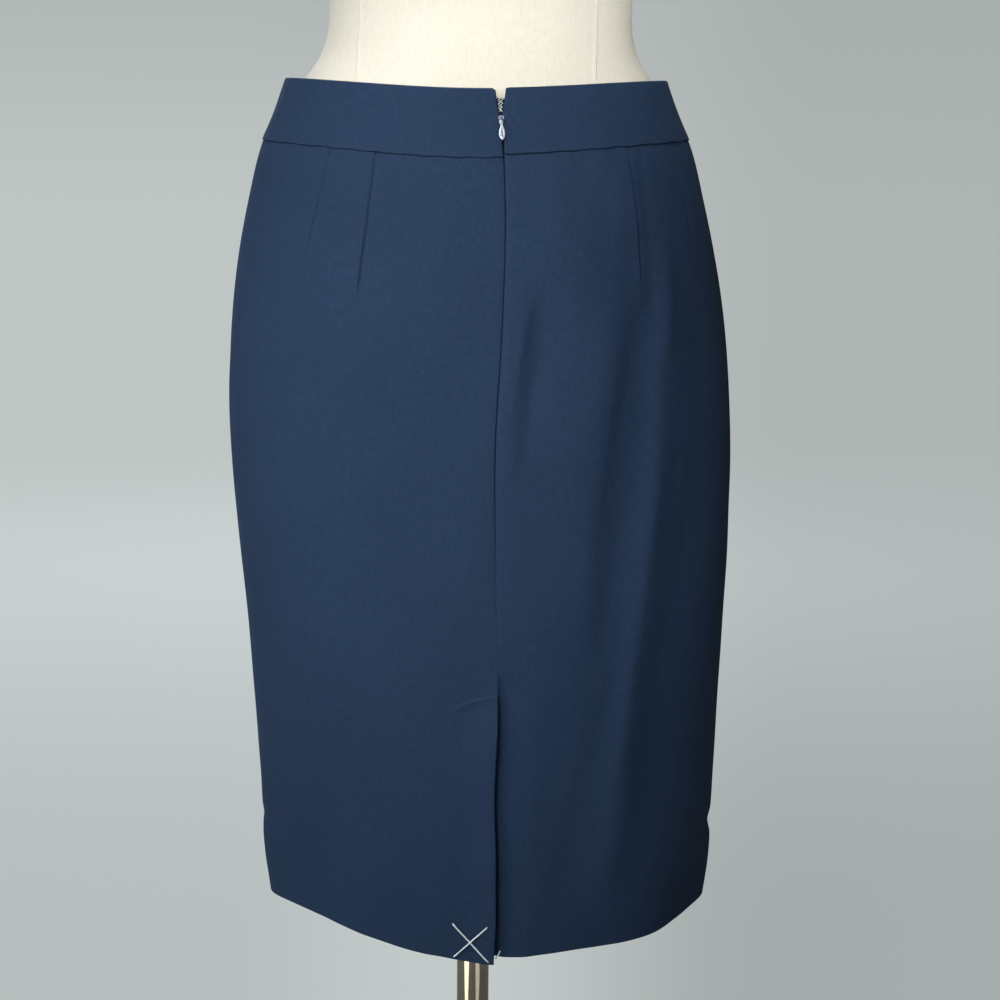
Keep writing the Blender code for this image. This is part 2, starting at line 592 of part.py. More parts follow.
def form_points(headings, levels):
    """The form's cover. Under the skirt it gives way where it would touch the cloth."""
    radius = outline_radius(FORM, headings, levels)
    x = column(FORM, "shift", levels) + radius * np.sin(headings)
    y = radius * np.cos(headings)
    covered = levels < BAND_TOP + 0.004
    cloth_level = np.minimum(levels, BAND_TOP)
    cloth_shift = column(SKIRT, "shift", cloth_level)
    heading_in_skirt = np.arctan2(x - cloth_shift, y)
    own = np.hypot(x - cloth_shift, y)
    room = outline_radius(SKIRT, heading_in_skirt, cloth_level) - CLOTH_WALL - FORM_GAP
    pressed = np.where(covered, np.minimum(own, room), own)
    x = np.where(covered, cloth_shift + pressed * np.sin(heading_in_skirt), x)
    y = np.where(covered, pressed * np.cos(heading_in_skirt), y)
    z = HEM_HEIGHT + levels - column(FORM, "drop", levels) * np.cos(headings) ** 2
    return np.stack(np.broadcast_arrays(x, y, z), axis=-1)


def form_body(collection):
    """The padded torso, lofted through its sections and closed at the bottom and the neck."""
    sides = 42
    extra = [0.226, 0.252, 0.300, 0.360, 0.420, 0.475, 0.520, 0.557, 0.588]
    levels = np.array(sorted([row.level for row in FORM] + extra))
    headings = np.linspace(0.0, 2.0 * np.pi, sides, endpoint=False)
    points = form_points(headings[None, :] * np.ones((len(levels), 1)), levels[:, None] * np.ones((1, sides)))
    bm = bmesh.new()
    rings = [[bm.verts.new(point) for point in ring] for ring in points]
    for lower, upper in zip(rings, rings[1:]):
        for place in range(sides):
            following = (place + 1) % sides
            bm.faces.new((lower[place], upper[place], upper[following], lower[following]))
    bm.faces.new(rings[0])
    bm.faces.new(reversed(rings[-1]))
    bmesh.ops.recalc_face_normals(bm, faces=bm.faces)
    mesh = bpy.data.meshes.new("form_body")
    bm.to_mesh(mesh)
    bm.free()
    return finish_object(bpy.data.objects.new("form_body", mesh), "form_cover", collection)


def stand(collection):
    """The neck cap, the collar under the form, the pole and the base."""
    neck_top = HEM_HEIGHT + FORM[-1].level + SEAM_GAP
    neck_radius = FORM[-1].half_width
    cap = turned_object("neck_cap", [
        (0.0, neck_top + NECK_CAP_HEIGHT),
        (neck_radius * 0.55, neck_top + NECK_CAP_HEIGHT * 0.93),
        (neck_radius * 0.85, neck_top + NECK_CAP_HEIGHT * 0.72),
        (neck_radius * 0.99, neck_top + NECK_CAP_HEIGHT * 0.45),
        (neck_radius * 1.02, neck_top + NECK_CAP_HEIGHT * 0.2),
        (neck_radius * 1.0, neck_top),
        (0.0, neck_top),
    ], 30)
    finish_object(cap, "cap_wood", collection)

    form_bottom = HEM_HEIGHT + FORM[0].level - SEAM_GAP
    inside = POLE_RADIUS + SEAM_GAP
    collar = turned_object("collar", [
        (inside, form_bottom),
        (0.034, form_bottom),
        (0.034, form_bottom - 0.005),
        (0.021, form_bottom - 0.008),
        (0.019, form_bottom - COLLAR_HEIGHT + 0.001),
        (0.018, form_bottom - COLLAR_HEIGHT),
        (inside, form_bottom - COLLAR_HEIGHT),
        (inside, form_bottom),
    ], 24)
    finish_object(collar, "base_metal", collection)

    pole_bottom = SOCKET_FLOOR + SEAM_GAP
    pole_length = form_bottom - pole_bottom
    bpy.ops.mesh.primitive_cylinder_add(vertices=28, radius=POLE_RADIUS, depth=pole_length,
                                        location=(0.0, 0.0, pole_bottom + pole_length / 2))
    pole = bpy.context.object
    pole.name = "pole"
    pole.data.name = "pole"
    finish_object(pole, "pole_nickel", collection)

    base = turned_object("base", [
        (0.0, SOCKET_FLOOR),
        (inside, SOCKET_FLOOR),
        (inside, SOCKET_TOP),
        (0.0195, SOCKET_TOP),
        (0.0220, SOCKET_TOP - 0.0030),
        (0.0240, 0.0240),
        (0.0340, 0.0190),
        (0.0900, 0.0150),
        (0.1500, 0.0120),
        (BASE_RADIUS - 0.0040, BASE_RIM + 0.0005),
        (BASE_RADIUS, BASE_RIM - 0.0030),
        (BASE_RADIUS, 0.0015),
        (BASE_RADIUS - 0.0015, 0.0),
        (0.0, 0.0),
    ], 48)
    finish_object(base, "base_metal", collection)


# ---------------------------------------------------------------- the part


def main():
    for obj in list(bpy.data.objects):
        bpy.data.objects.remove(obj)
    collection = bpy.data.collections.new("pencil_skirt_on_form")
    bpy.context.scene.collection.children.link(collection)

    skirt_front(collection)
    skirt_back_left(collection)
    skirt_back_right(collection)
    waistband(collection)

    place = bpy.data.objects.new("zip_place", None)
    collection.objects.link(place)
    place.matrix_world = zip_frame()
    zip_slider(place, collection)
    zip_pull(place, collection)

    form_body(collection)
    stand(collection)
    bpy.context.view_layer.update()


main()
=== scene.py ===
"""Looks for a navy pencil skirt on its dress form: cloth, seams, darts, vent, zip, cover and stand.

Metres, +Z up. The skirt's back, with its zip and vent, faces +Y and the wearer's left is +X. A place on
the cloth is an angle round the skirt in degrees (0 centre back, +90 left side seam, 180 centre front,
-90 right side seam) and a level above the hem. The tables of sections, folds and darts are the part's.
"""
import math
from collections import namedtuple

import bmesh
import bpy
import numpy as np
from mathutils import Matrix


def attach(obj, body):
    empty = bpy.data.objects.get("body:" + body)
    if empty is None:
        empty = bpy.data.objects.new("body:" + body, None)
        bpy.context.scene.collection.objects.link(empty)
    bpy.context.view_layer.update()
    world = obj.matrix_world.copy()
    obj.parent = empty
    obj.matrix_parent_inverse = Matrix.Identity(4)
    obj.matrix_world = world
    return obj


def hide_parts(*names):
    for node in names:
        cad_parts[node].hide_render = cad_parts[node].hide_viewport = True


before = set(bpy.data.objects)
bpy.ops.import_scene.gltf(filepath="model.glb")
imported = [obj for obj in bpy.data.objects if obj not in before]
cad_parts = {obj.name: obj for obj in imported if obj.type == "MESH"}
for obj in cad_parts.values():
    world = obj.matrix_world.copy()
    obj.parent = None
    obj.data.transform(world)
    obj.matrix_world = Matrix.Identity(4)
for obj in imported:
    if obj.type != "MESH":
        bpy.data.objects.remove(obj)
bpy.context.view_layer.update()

STILL = "skirt_on_form"
SWINGING = "pull_tab"

# ---- the part's own sizes

HEM_HEIGHT = 0.420
WAIST_SEAM = 0.5735
BAND_TOP = 0.616
SEAM_GAP = 0.0003
SOLID_WALL = 0.0016         # the solids' cloth wall
FORM_GAP = 0.0008
VENT_TOP = 0.2035
UNDERLAP = 14.6             # degrees
UNDERLAP_SLANT = 0.0104
VENT_TUCK = 0.0032
TUCK_RISE = 0.020
TUCK_REACH = 13.0
UNDERLAP_HEM = 0.0008
FLAP_DROP = 0.0023
FLAP_REACH = 22.0
HEM_REACH = 0.080
ZIP_OPEN_LEVEL = 0.5992
ZIP_OPEN_HALF = 0.0031
ZIP_OPEN_POWER = 0.55
SLIDER_LEVEL = 0.5968
PIN_OUT = 0.0022
POLE_RADIUS = 0.0125
BASE_RADIUS = 0.190
BASE_RIM = 0.009
SOCKET_FLOOR = 0.008
SOCKET_TOP = 0.052
COLLAR_HEIGHT = 0.030
NECK_CAP_HEIGHT = 0.014

# Radii that turn a few degrees into a length: of the whole skirt for patterns, at a panel's sides, at the
# centre back, at the vent, and of the waistband and of its back.
MEAN_RADIUS = 0.155
SIDE_RADIUS = 0.145
CENTRE_RADIUS = 0.125
VENT_RADIUS = 0.12
BAND_RADIUS = 0.13
BAND_BACK_RADIUS = 0.105


def table(columns, rows):
    """Rows with named columns; what a row leaves out at its end is 0."""
    names = columns.split()
    row = namedtuple("Row", names, defaults=[0.0] * len(names))
    return [row(*values) for values in rows]


SECTION = "level half_width back front corner shift drop turn"
SKIRT = table(SECTION, [
    (0.0, 0.1665, 0.117, 0.1, 1.78, -0.0115, 0.0067, 0.7),
    (0.03, 0.1695, 0.1185, 0.1015, 1.85, -0.0112, 0.007, 1.4),
    (0.07, 0.1725, 0.1205, 0.1035, 1.94, -0.0106, 0.0073, 2.2),
    (0.14, 0.1757, 0.1245, 0.1065, 2.05, -0.0094, 0.008, 2.6),
    (0.22, 0.1791, 0.127, 0.1095, 2.15, -0.008, 0.0085, 2.8),
    (0.3, 0.183, 0.129, 0.113, 2.2, -0.0056, 0.0088, 3.6),
    (0.38, 0.1841, 0.1302, 0.117, 2.2, -0.0026, 0.0092, 5.0),
    (0.46, 0.1779, 0.1275, 0.116, 2.18, -0.0008, 0.0095, 6.6),
    (0.53, 0.1646, 0.1185, 0.111, 2.15, 0.0006, 0.0098, 8.2),
    (0.5735, 0.1524, 0.111, 0.107, 2.15, 0.001, 0.0099, 8.6),
    (0.595, 0.1432, 0.1076, 0.1048, 2.15, 0.0012, 0.0092, 8.7),
    (0.616, 0.1353, 0.1045, 0.103, 2.15, 0.0012, 0.0077, 8.8),
])
FORM = table(SECTION, [
    (0.212, 0.148, 0.093, 0.084, 2.2, -0.003),
    (0.218, 0.159, 0.103, 0.093, 2.2, -0.003, 0.002),
    (0.235, 0.169, 0.112, 0.1, 2.2, -0.003, 0.004),
    (0.27, 0.178, 0.121, 0.107, 2.2, -0.0025, 0.008),
    (0.33, 0.186, 0.13, 0.117, 2.2, -0.0015, 0.009),
    (0.39, 0.186, 0.132, 0.119, 2.2, 0.0, 0.0092),
    (0.45, 0.179, 0.1285, 0.1165, 2.18, 0.0, 0.0095),
    (0.5, 0.168, 0.1205, 0.1105, 2.16, 0.0, 0.0097),
    (0.54, 0.157, 0.112, 0.105, 2.15, 0.0, 0.0098),
    (0.5735, 0.145, 0.105, 0.1012, 2.14, 0.0, 0.0099),
    (0.6, 0.1325, 0.099, 0.0985, 2.12, 0.0, 0.01),
    (0.616, 0.1232, 0.0958, 0.097, 2.1, -0.0005, 0.009),
    (0.629, 0.1143, 0.0918, 0.095, 2.1, -0.0007, 0.0075),
    (0.643, 0.109, 0.0882, 0.0932, 2.1, -0.0012, 0.006),
    (0.66, 0.1068, 0.0855, 0.092, 2.1, -0.0016, 0.004),
    (0.685, 0.1082, 0.0862, 0.093, 2.1, -0.0014, 0.0015),
    (0.72, 0.1135, 0.09, 0.096, 2.12, -0.0008),
    (0.77, 0.124, 0.0965, 0.103, 2.15),
    (0.82, 0.134, 0.101, 0.1135, 2.2),
    (0.86, 0.14, 0.104, 0.1235, 2.3),
    (0.895, 0.1435, 0.1062, 0.1275, 2.35),
    (0.93, 0.1465, 0.1078, 0.1215, 2.35),
    (0.965, 0.151, 0.1078, 0.1095, 2.35),
    (1.005, 0.16, 0.105, 0.096, 2.4),
    (1.035, 0.1665, 0.099, 0.0855, 2.4),
    (1.058, 0.1625, 0.089, 0.076, 2.25),
    (1.078, 0.143, 0.078, 0.0695, 2.1),
    (1.095, 0.113, 0.069, 0.064, 2.0),
    (1.11, 0.083, 0.0625, 0.06, 2.0),
    (1.126, 0.0635, 0.058, 0.057, 2.0),
    (1.148, 0.056, 0.055, 0.055, 2.0),
    (1.17, 0.054, 0.054, 0.054, 2.0),
])
FOLDS = table("name top bottom angle_top angle_bottom breadth lift fade", [
    ("right back ease", 0.55, 0.14, -28.0, -19.5, 0.043, 0.0025, 0.08),
    ("right back crest", 0.51, 0.03, -49.3, -36.5, 0.0157, 0.0048, 0.07),
    ("right back trough", 0.51, 0.13, -54.0, -18.0, 0.025, -0.0022, 0.07),
    ("right back swell", 0.5, 0.15, -31.0, -26.5, 0.0216, 0.0032, 0.09),
    ("centre back roll", 0.49, 0.35, -5.4, -4.7, 0.0081, 0.0021, 0.03),
    ("centre back hollow", 0.505, 0.36, -13.8, -6.9, 0.0084, -0.002, 0.065),
    ("right side swell", 0.46, -0.2, -68.0, -58.0, 0.031, 0.0022, 0.1),
    ("right hem roll", 0.14, -0.2, -50.0, -50.0, 0.0353, 0.006, 0.12),
    ("right hem corner", 0.08, -0.2, -82.0, -82.0, 0.012, 0.0026, 0.06),
    ("left hem hollow", 0.15, -0.2, 60.0, 60.0, 0.036, -0.005, 0.13),
    ("left hem corner", 0.11, -0.2, 85.0, 85.0, 0.018, 0.004, 0.09),
    ("front left crest", 0.42, 0.04, 137.0, 146.0, 0.015, 0.0034, 0.08),
    ("front left hollow", 0.19, -0.2, 128.0, 132.0, 0.02, -0.005, 0.1),
    ("front right swell", 0.46, -0.2, -141.0, -132.0, 0.024, 0.0038, 0.1),
    ("front right hollow", 0.17, -0.2, -116.0, -116.0, 0.02, -0.0055, 0.1),
])

# The hem isn't quite level: where it rises, over how many degrees, and by how much.
HEM_RISES = table("angle breadth rise", [
    (71.0, 17.0, 0.0058), (44.0, 15.0, 0.003), (-30.0, 16.0, 0.0017), (-84.0, 8.0, 0.0032)])

# The centre back seam isn't quite straight: how many degrees it stands off at each level.
SEAM_WANDER = table("level away", [
    (0.0, -1.1), (0.03, -1.05), (0.06, -0.5), (0.09, -0.1), (0.13, 0.25), (0.16, -0.3), (0.2035, -1.0),
    (0.247, -0.65), (0.286, -0.3), (0.325, 0.12), (0.363, 0.4), (0.401, 0.3), (0.44, -0.43), (0.475, -0.83),
    (0.513, -1.12), (0.552, -1.15), (0.5735, -0.85), (0.586, -0.45), (0.5968, 0.0), (0.616, 0.0)])
WANDER_REACH = 30.0

# The vent's free edge stands off the underlap in slow waves: how far, at each level.
FLAP_ROLL = table("level off", [
    (0.0, 0.003), (0.028, 0.004), (0.057, 0.0032), (0.075, 0.0054), (0.1, 0.0035), (0.125, 0.0028),
    (0.147, 0.0034), (0.17, 0.0054), (0.19, 0.0034), (0.2035, 0.0), (0.616, 0.0)])
FLAP_ROLL_REACH = 0.013

# Each dart: its angle, the level of its point, the height of the step at its stitches, and by how many
# degrees the dart leans at its top and at its point.
DARTS = table("name angle point step lean_top lean_point", [
    ("back inner left", 42.5, 0.475, 0.00165),
    ("back outer left", 59.0, 0.493, 0.0012, -2.4),
    ("back inner right", -42.5, 0.483, 0.00165, 1.8, 2.4),
    ("back outer right", -59.0, 0.498, 0.0005),
    ("front inner left", 141.0, 0.494, 0.0008),
    ("front outer left", 121.0, 0.506, 0.0007),
    ("front inner right", -141.0, 0.494, 0.0008),
    ("front outer right", -121.0, 0.506, 0.0007),
])
DART_LEAN_REACH = 8.0       # degrees round a leaning dart that go with it
DART_LINE = 0.00036         # half the breadth of the step at a dart's stitches
DART_PULL = 0.005           # half the breadth of the cloth that they draw in
DART_PULL_DEPTH = 0.0002
DART_FADE = 0.012

# Smaller creases: half breadth, lift, fading length, and each crease's own points of (angle, level).
CREASES = table("name breadth lift fade points", [
    ("seam drag", 0.0037, -0.0005, 0.05, ((-14.4, 0.492), (-8.3, 0.458), (-6.0, 0.415), (-5.0, 0.39), (-3.3, 0.36))),
    ("seam roll", 0.0036, 0.0008, 0.03, ((-2.8, 0.49), (-1.5, 0.44), (-0.7, 0.37))),
    ("second drag", 0.0057, -0.0005, 0.05, ((-19.2, 0.48), (-14.1, 0.42), (-11.9, 0.37))),
    ("trough line", 0.0116, -0.0013, 0.05,
     ((-45.4, 0.49), (-39.5, 0.457), (-35.7, 0.4), (-34.7, 0.345), (-32.8, 0.28), (-30.8, 0.2))),
    ("crest line", 0.0067, 0.0015, 0.05, ((-50.0, 0.53), (-48.8, 0.495), (-47.4, 0.465), (-44.2, 0.425),
                                          (-43.1, 0.33), (-40.9, 0.265), (-38.5, 0.2), (-37.2, 0.11))),
    ("dart drop", 0.0048, -0.001, 0.024,
     ((-45.4, 0.578), (-44.6, 0.545), (-44.1, 0.515), (-43.5, 0.49), (-42.0, 0.455))),
    ("dart ridge", 0.017, 0.0016, 0.028, ((-36.5, 0.575), (-37.0, 0.53), (-37.5, 0.5))),
    ("swell edge", 0.0069, -0.0006, 0.05, ((-36.8, 0.47), (-33.9, 0.4), (-31.1, 0.33), (-27.8, 0.26))),
    ("right hip ridge", 0.0063, 0.0008, 0.06, ((-53.3, 0.49), (-53.9, 0.42), (-51.5, 0.33), (-49.3, 0.24))),
    ("low right ridge", 0.014, 0.00035, 0.05, ((-26.9, 0.23), (-26.3, 0.15), (-26.0, 0.07))),
    ("left hip dip", 0.0142, -0.00024, 0.06, ((34.0, 0.47), (33.0, 0.4), (31.0, 0.3))),
    ("left hip wrinkle", 0.0013, -0.00035, 0.01, ((55.0, 0.3165), (46.0, 0.32), (38.0, 0.3225))),
    ("vent top dimple", 0.004, -0.00035, 0.006, ((3.0, 0.21), (0.6, 0.206))),
    ("right side notch", 0.007, -0.0021, 0.03, ((-66.0, 0.064), (-84.0, 0.061), (-104.0, 0.058))),
    ("left side notch", 0.006, -0.0011, 0.03, ((70.0, 0.071), (88.0, 0.067), (106.0, 0.064))),
])

# Low, long waves that keep the cloth from lying dead flat: height, length across, length up, phase.
WAVES = [
    (0.00018, 0.115, 0.300, 0.4), (0.00014, 0.071, 0.210, 2.1), (0.00010, 0.047, -0.160, 4.0),
    (0.00007, 0.031, 0.120, 1.2), (0.00006, 0.058, -0.070, 5.2), (0.00005, 0.023, 0.090, 3.3),
]

# ---- cloth sizes of the looks

CLOTH = 0.0009              # one layer of suiting
TURNED = 0.00155            # where the hem or the vent's edge is turned back
BAND = 0.0022
EDGE_STEPS = 5              # points round a turned edge
HEM_ALLOWANCE = 0.052
SEAM_PARTING = 0.00016
SEAM_PARTING_START = 0.27
SEAM_CLOSED = 0.0003        # how far the seam's edges are drawn together above the vent
SEAM_EASE = 0.0003          # how far the cloth sinks beside a side seam
WAIST_WOBBLE = 0.00022
SEAM_SNUG = 2.4             # how much steeper the waistband turns in at its seam than at its free edges
LAP_DIP = 0.0026            # how much further the underlap sinks just behind the vent's edge
LAP_DIP_REACH = 0.005
WAIST_BITE = 0.00035        # how far the skirt is drawn up into the waist seam where it is tightest
LEFT_WAIST_OFFSET = -0.0007
RIGHT_WAIST_OFFSET = 0.0014
WAIST_SHIFT_REACH = 0.03
VENT_ALLOWANCE = 13.5       # degrees


def smooth(value):
    """Goes softly from 0 to 1 as the value does: 3 u squared minus 2 u cubed."""
    u = np.clip(value, 0.0, 1.0)
    return u * u * (3.0 - 2.0 * u)


def bell(distance, reach):
    """A bell: e to the minus square of distance over reach."""
    return np.exp(-(distance / reach) ** 2)


def arc_of(angle):
    """The length that an angle makes on the skirt's mean radius."""
    return np.radians(angle) * MEAN_RADIUS


def ripple(arc, length, phase=0.0):
    """A sine wave of a length along an arc."""
    return np.sin(2 * np.pi * arc / length + phase)


def column(rows, name, level):
    """One column of a table at any level: a cubic through its rows, with the rows' own slopes."""
    levels = np.array([row.level for row in rows])
    values = np.array([getattr(row, name) for row in rows])
    slopes = np.gradient(values, levels)
    low = np.clip(np.searchsorted(levels, level, side="right") - 1, 0, len(levels) - 2)
    span = levels[low + 1] - levels[low]
    u = np.clip((level - levels[low]) / span, 0.0, 1.0)
    start = (2.0 * u**3 - 3.0 * u**2 + 1.0) * values[low] + (u**3 - 2.0 * u**2 + u) * span * slopes[low]
    end = (3.0 * u**2 - 2.0 * u**3) * values[low + 1] + (u**3 - u**2) * span * slopes[low + 1]
    return start + end


def outline_radius(rows, heading, level):
    """Radius of a superellipse of half width, depth and corner power, in the heading's direction."""
    along = np.cos(heading)
    depth = np.where(along >= 0.0, column(rows, "back", level), column(rows, "front", level))
    power = column(rows, "corner", level)
    sides = np.abs(np.sin(heading) / column(rows, "half_width", level)) ** power
    return (sides + np.abs(along / depth) ** power) ** (-1.0 / power)


def turned(angle, level):
    """Heading of a cloth angle in radians: the angle less the skirt's turn round the form."""
    return np.radians(angle - column(SKIRT, "turn", level))


def round_away(angle, middle):
    """Degrees from a middle angle, the short way round."""
    return (angle - middle + 180.0) % 360.0 - 180.0


def fold_lift(angle, level):
    """Sum of bell-shaped ridges, each along a slanting line and fading at its ends."""
    lift = 0.0
    radius = outline_radius(SKIRT, turned(angle, level), level)
    for fold in FOLDS:
        share = np.clip((fold.top - level) / (fold.top - max(fold.bottom, 0.0)), 0.0, 1.0)
        crest = fold.angle_top + (fold.angle_bottom - fold.angle_top) * share
        ends = smooth((fold.top - level) / fold.fade) * smooth((level - fold.bottom) / fold.fade)
        lift = lift + fold.lift * ends * bell(np.radians(round_away(angle, crest)) * radius, fold.breadth)
    return lift


def crease_lift(angle, level):
    """Sum of bell-shaped creases: each falls with the distance to its line of points and fades at its ends."""
    lift = 0.0
    for crease in CREASES:
        middle = crease.points[0][0]
        across = arc_of(round_away(angle, middle))
        points = np.array([(arc_of(a - middle), b) for a, b in crease.points])
        steps = np.hypot(*np.diff(points, axis=0).T)
        nearest = np.inf
        along = 0.0
        for start, end, length, before in zip(points, points[1:], steps, np.cumsum(steps) - steps):
            way = (end - start) / length
            part = np.clip((across - start[0]) * way[0] + (level - start[1]) * way[1], 0.0, length)
            away = np.hypot(across - start[0] - part * way[0], level - start[1] - part * way[1])
            along = np.where(away < nearest, before + part, along)
            nearest = np.minimum(nearest, away)
        ends = smooth(along / crease.fade) * smooth((steps.sum() - along) / crease.fade)
        lift = lift + crease.lift * ends * bell(nearest, crease.breadth)
    return lift


def dart_groove(angle, level):
    """How far the cloth sinks at each dart: a small step down at its stitches, easing out to both sides
    inside a soft dip; both fade above its point."""
    groove = 0.0
    radius = outline_radius(SKIRT, turned(angle, level), level)
    for dart in DARTS:
        across = np.radians(round_away(angle, dart.angle)) * radius
        step = 0.5 * dart.step * smooth((level - dart.point) / DART_FADE) * np.tanh(across / DART_LINE)
        pull = DART_PULL_DEPTH * smooth((level - dart.point + DART_FADE) / (3 * DART_FADE))
        groove = groove + (pull - step) * bell(across, DART_PULL)
    return groove


def dart_lean(angle, level):
    """Degrees by which the cloth at each leaning dart goes aside with it: a bell round the dart's angle."""
    lean = 0.0
    for dart in DARTS:
        down = np.clip((WAIST_SEAM - level) / (WAIST_SEAM - dart.point), 0.0, None)
        degrees = dart.lean_top + (dart.lean_point - dart.lean_top) * np.minimum(down, 1.0)
        lean = lean + degrees * smooth(2.0 - down) * bell(round_away(angle, dart.angle), DART_LEAN_REACH)
    return lean


def cloth_lift(angle, level):
    """All that carries the cloth out of its section's outline, found where a leaning dart has put it: the
    folds, the creases, a sum of low sine waves across and up the cloth, and the darts."""
    put = angle + dart_lean(angle, level)
    waves = sum(height * np.sin(2 * np.pi * (arc_of(put) / across + level / up) + phase)
                for height, across, up, phase in WAVES)
    return fold_lift(put, level) + crease_lift(put, level) + waves - dart_groove(angle, level)


def seam_wander(angle, level):
    """Degrees by which the cloth near the centre back seam stands off to one side."""
    return column(SEAM_WANDER, "away", level) * bell(round_away(angle, 0.0), WANDER_REACH)


def hem_rise(angle, level):
    """How much higher the cloth near the hem hangs than its own level: a sum of bells round the skirt."""
    rise = sum(row.rise * bell(round_away(angle, row.angle), row.breadth) for row in HEM_RISES)
    return rise * smooth(1.0 - level / HEM_REACH)


def waist_shift(angle, level, offset):
    """The waist seam was sewn a little off its level: a bell that moves the cloth up or down near it, with a
    short uneven wobble of two sines close to the seam."""
    arc = arc_of(angle)
    wobble = WAIST_WOBBLE * (ripple(arc, 0.027, 0.8) + 0.7 * ripple(arc, 0.0113, 2.0))
    away = level - WAIST_SEAM
    return offset * bell(away, WAIST_SHIFT_REACH) + wobble * bell(away, 0.005)


def waist_bite(angle, level):
    """How far the skirt's top edge is drawn up against the band: more in some places than in others."""
    arc = arc_of(angle)
    return WAIST_BITE * (0.5 + 0.5 * ripple(arc, 0.019) * ripple(arc, 0.0073, 1.0)) * bell(level - WAIST_SEAM, 0.0015)


def cloth(angle, level, lift):
    """Points on the skirt's rings, moved out by a lift; the rings dip at the centre back and front."""
    angle = angle + dart_lean(angle, level)
    heading = turned(angle, level) + np.radians(seam_wander(angle, level))
    radius = outline_radius(SKIRT, heading, level) + lift
    x = column(SKIRT, "shift", level) + radius * np.sin(heading)
    y = radius * np.cos(heading)
    z = HEM_HEIGHT + level - column(SKIRT, "drop", level) * np.cos(heading) ** 2
    return np.stack(np.broadcast_arrays(x, y, z), axis=-1)


# ---- meshes


def grid_faces(rows, columns, closed=False):
    """Corner numbers of a grid's cells, seen from inside; closed joins the last column to the first."""
    low = np.arange(rows - 1)[:, None] * columns
    place = np.arange(columns if closed else columns - 1)[None, :]
    after = (place + 1) % columns
    return np.stack([low + place, low + after, low + columns + after, low + columns + place], axis=-1)


def put_object(name, mesh, material):
    """An object for a finished mesh, in its place in the scene."""
    mesh.shade_smooth()
    mesh.materials.append(material)
    made = bpy.data.objects.new(name, mesh)
    bpy.context.scene.collection.objects.link(made)
    return made


def make_piece(name, points, faces, material, body=STILL, slot=None, node=None, pattern=None, merge=False):
    """An object in its finished place, from arrays of points and faces, with its own map where it has one,
    on its body, and shown in a solid's place where it names one."""
    used, faces = np.unique(faces, return_inverse=True)
    faces = faces.reshape(-1, 4)
    mesh = bpy.data.meshes.new(name)
    mesh.from_pydata(points.reshape(-1, 3)[used].tolist(), [], faces.tolist())
    if pattern is not None:
        layer = mesh.uv_layers.new(name="cloth")
        layer.data.foreach_set("uv", pattern.reshape(-1, 2)[used][faces.ravel()].ravel())
    if merge:
        bm = bmesh.new()
        bm.from_mesh(mesh)
        bmesh.ops.remove_doubles(bm, verts=bm.verts, dist=1e-7)
        bmesh.ops.dissolve_degenerate(bm, dist=1e-7, edges=bm.edges)
        bmesh.ops.recalc_face_normals(bm, faces=bm.faces)
        bm.to_mesh(mesh)
        bm.free()
    piece = put_object(name, mesh, material)
    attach(piece, body)
    if node:
        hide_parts(node)
    return piece


def shell(name, angle, level, lift, thick, edge, material, kept=None, **made):
    """A closed cloth shell over a grid. Its two faces lie half the thickness each side of its middle,
    and meet in a half round where the distance to the edge is under half the thickness."""
    rows, columns = angle.shape
    half = thick / 2
    share = np.clip(edge / half, 0.0, 1.0)
    fullness = np.sqrt(np.clip(1.0 - (1.0 - share) ** 2, 0.0, 1.0))
    outer = cloth(angle, level, lift - half + half * fullness)
    inner = cloth(angle, level, lift - half - half * fullness)
    cells = grid_faces(rows, columns)
    cells = (cells if kept is None else cells[kept]).reshape(-1, 4)
    number = np.arange(rows * columns)
    inner_number = np.where((share <= 0.0).ravel(), number, number + rows * columns)
    pattern = np.stack([arc_of(angle), level], axis=-1)
    return make_piece(name, np.stack([outer, inner]), np.vstack([cells[:, ::-1], inner_number[cells]]), material,
                      pattern=np.stack([pattern, pattern]), **made)


def spread(start, end, step, marks=(), edge=TURNED / 2):
    """Places from start to end: even steps, close ones round both edges, and close ones at each mark.
    Round an edge they follow a quarter circle, so that its half round is evenly cut."""
    round_in = edge * (1.0 - np.cos(np.linspace(0.0, np.pi / 2, EDGE_STEPS)))
    middle = np.linspace(start, end, max(2, round((end - start) / step) + 1))[1:-1]
    middle = middle[(middle > start + 1.6 * edge) & (middle < end - 1.6 * edge)]
    for place, offsets in marks:
        middle = middle[np.abs(middle - place) > np.abs(offsets).max() + 0.3 * step]
        middle = np.concatenate([middle, place + np.asarray(offsets)])
    return np.unique(np.concatenate([start + round_in, middle, end - round_in]))


def rim(value, start, end):
    """Distance of a place to the nearer of two edges."""
    return np.minimum(value - start, end - value)


# ---- materials


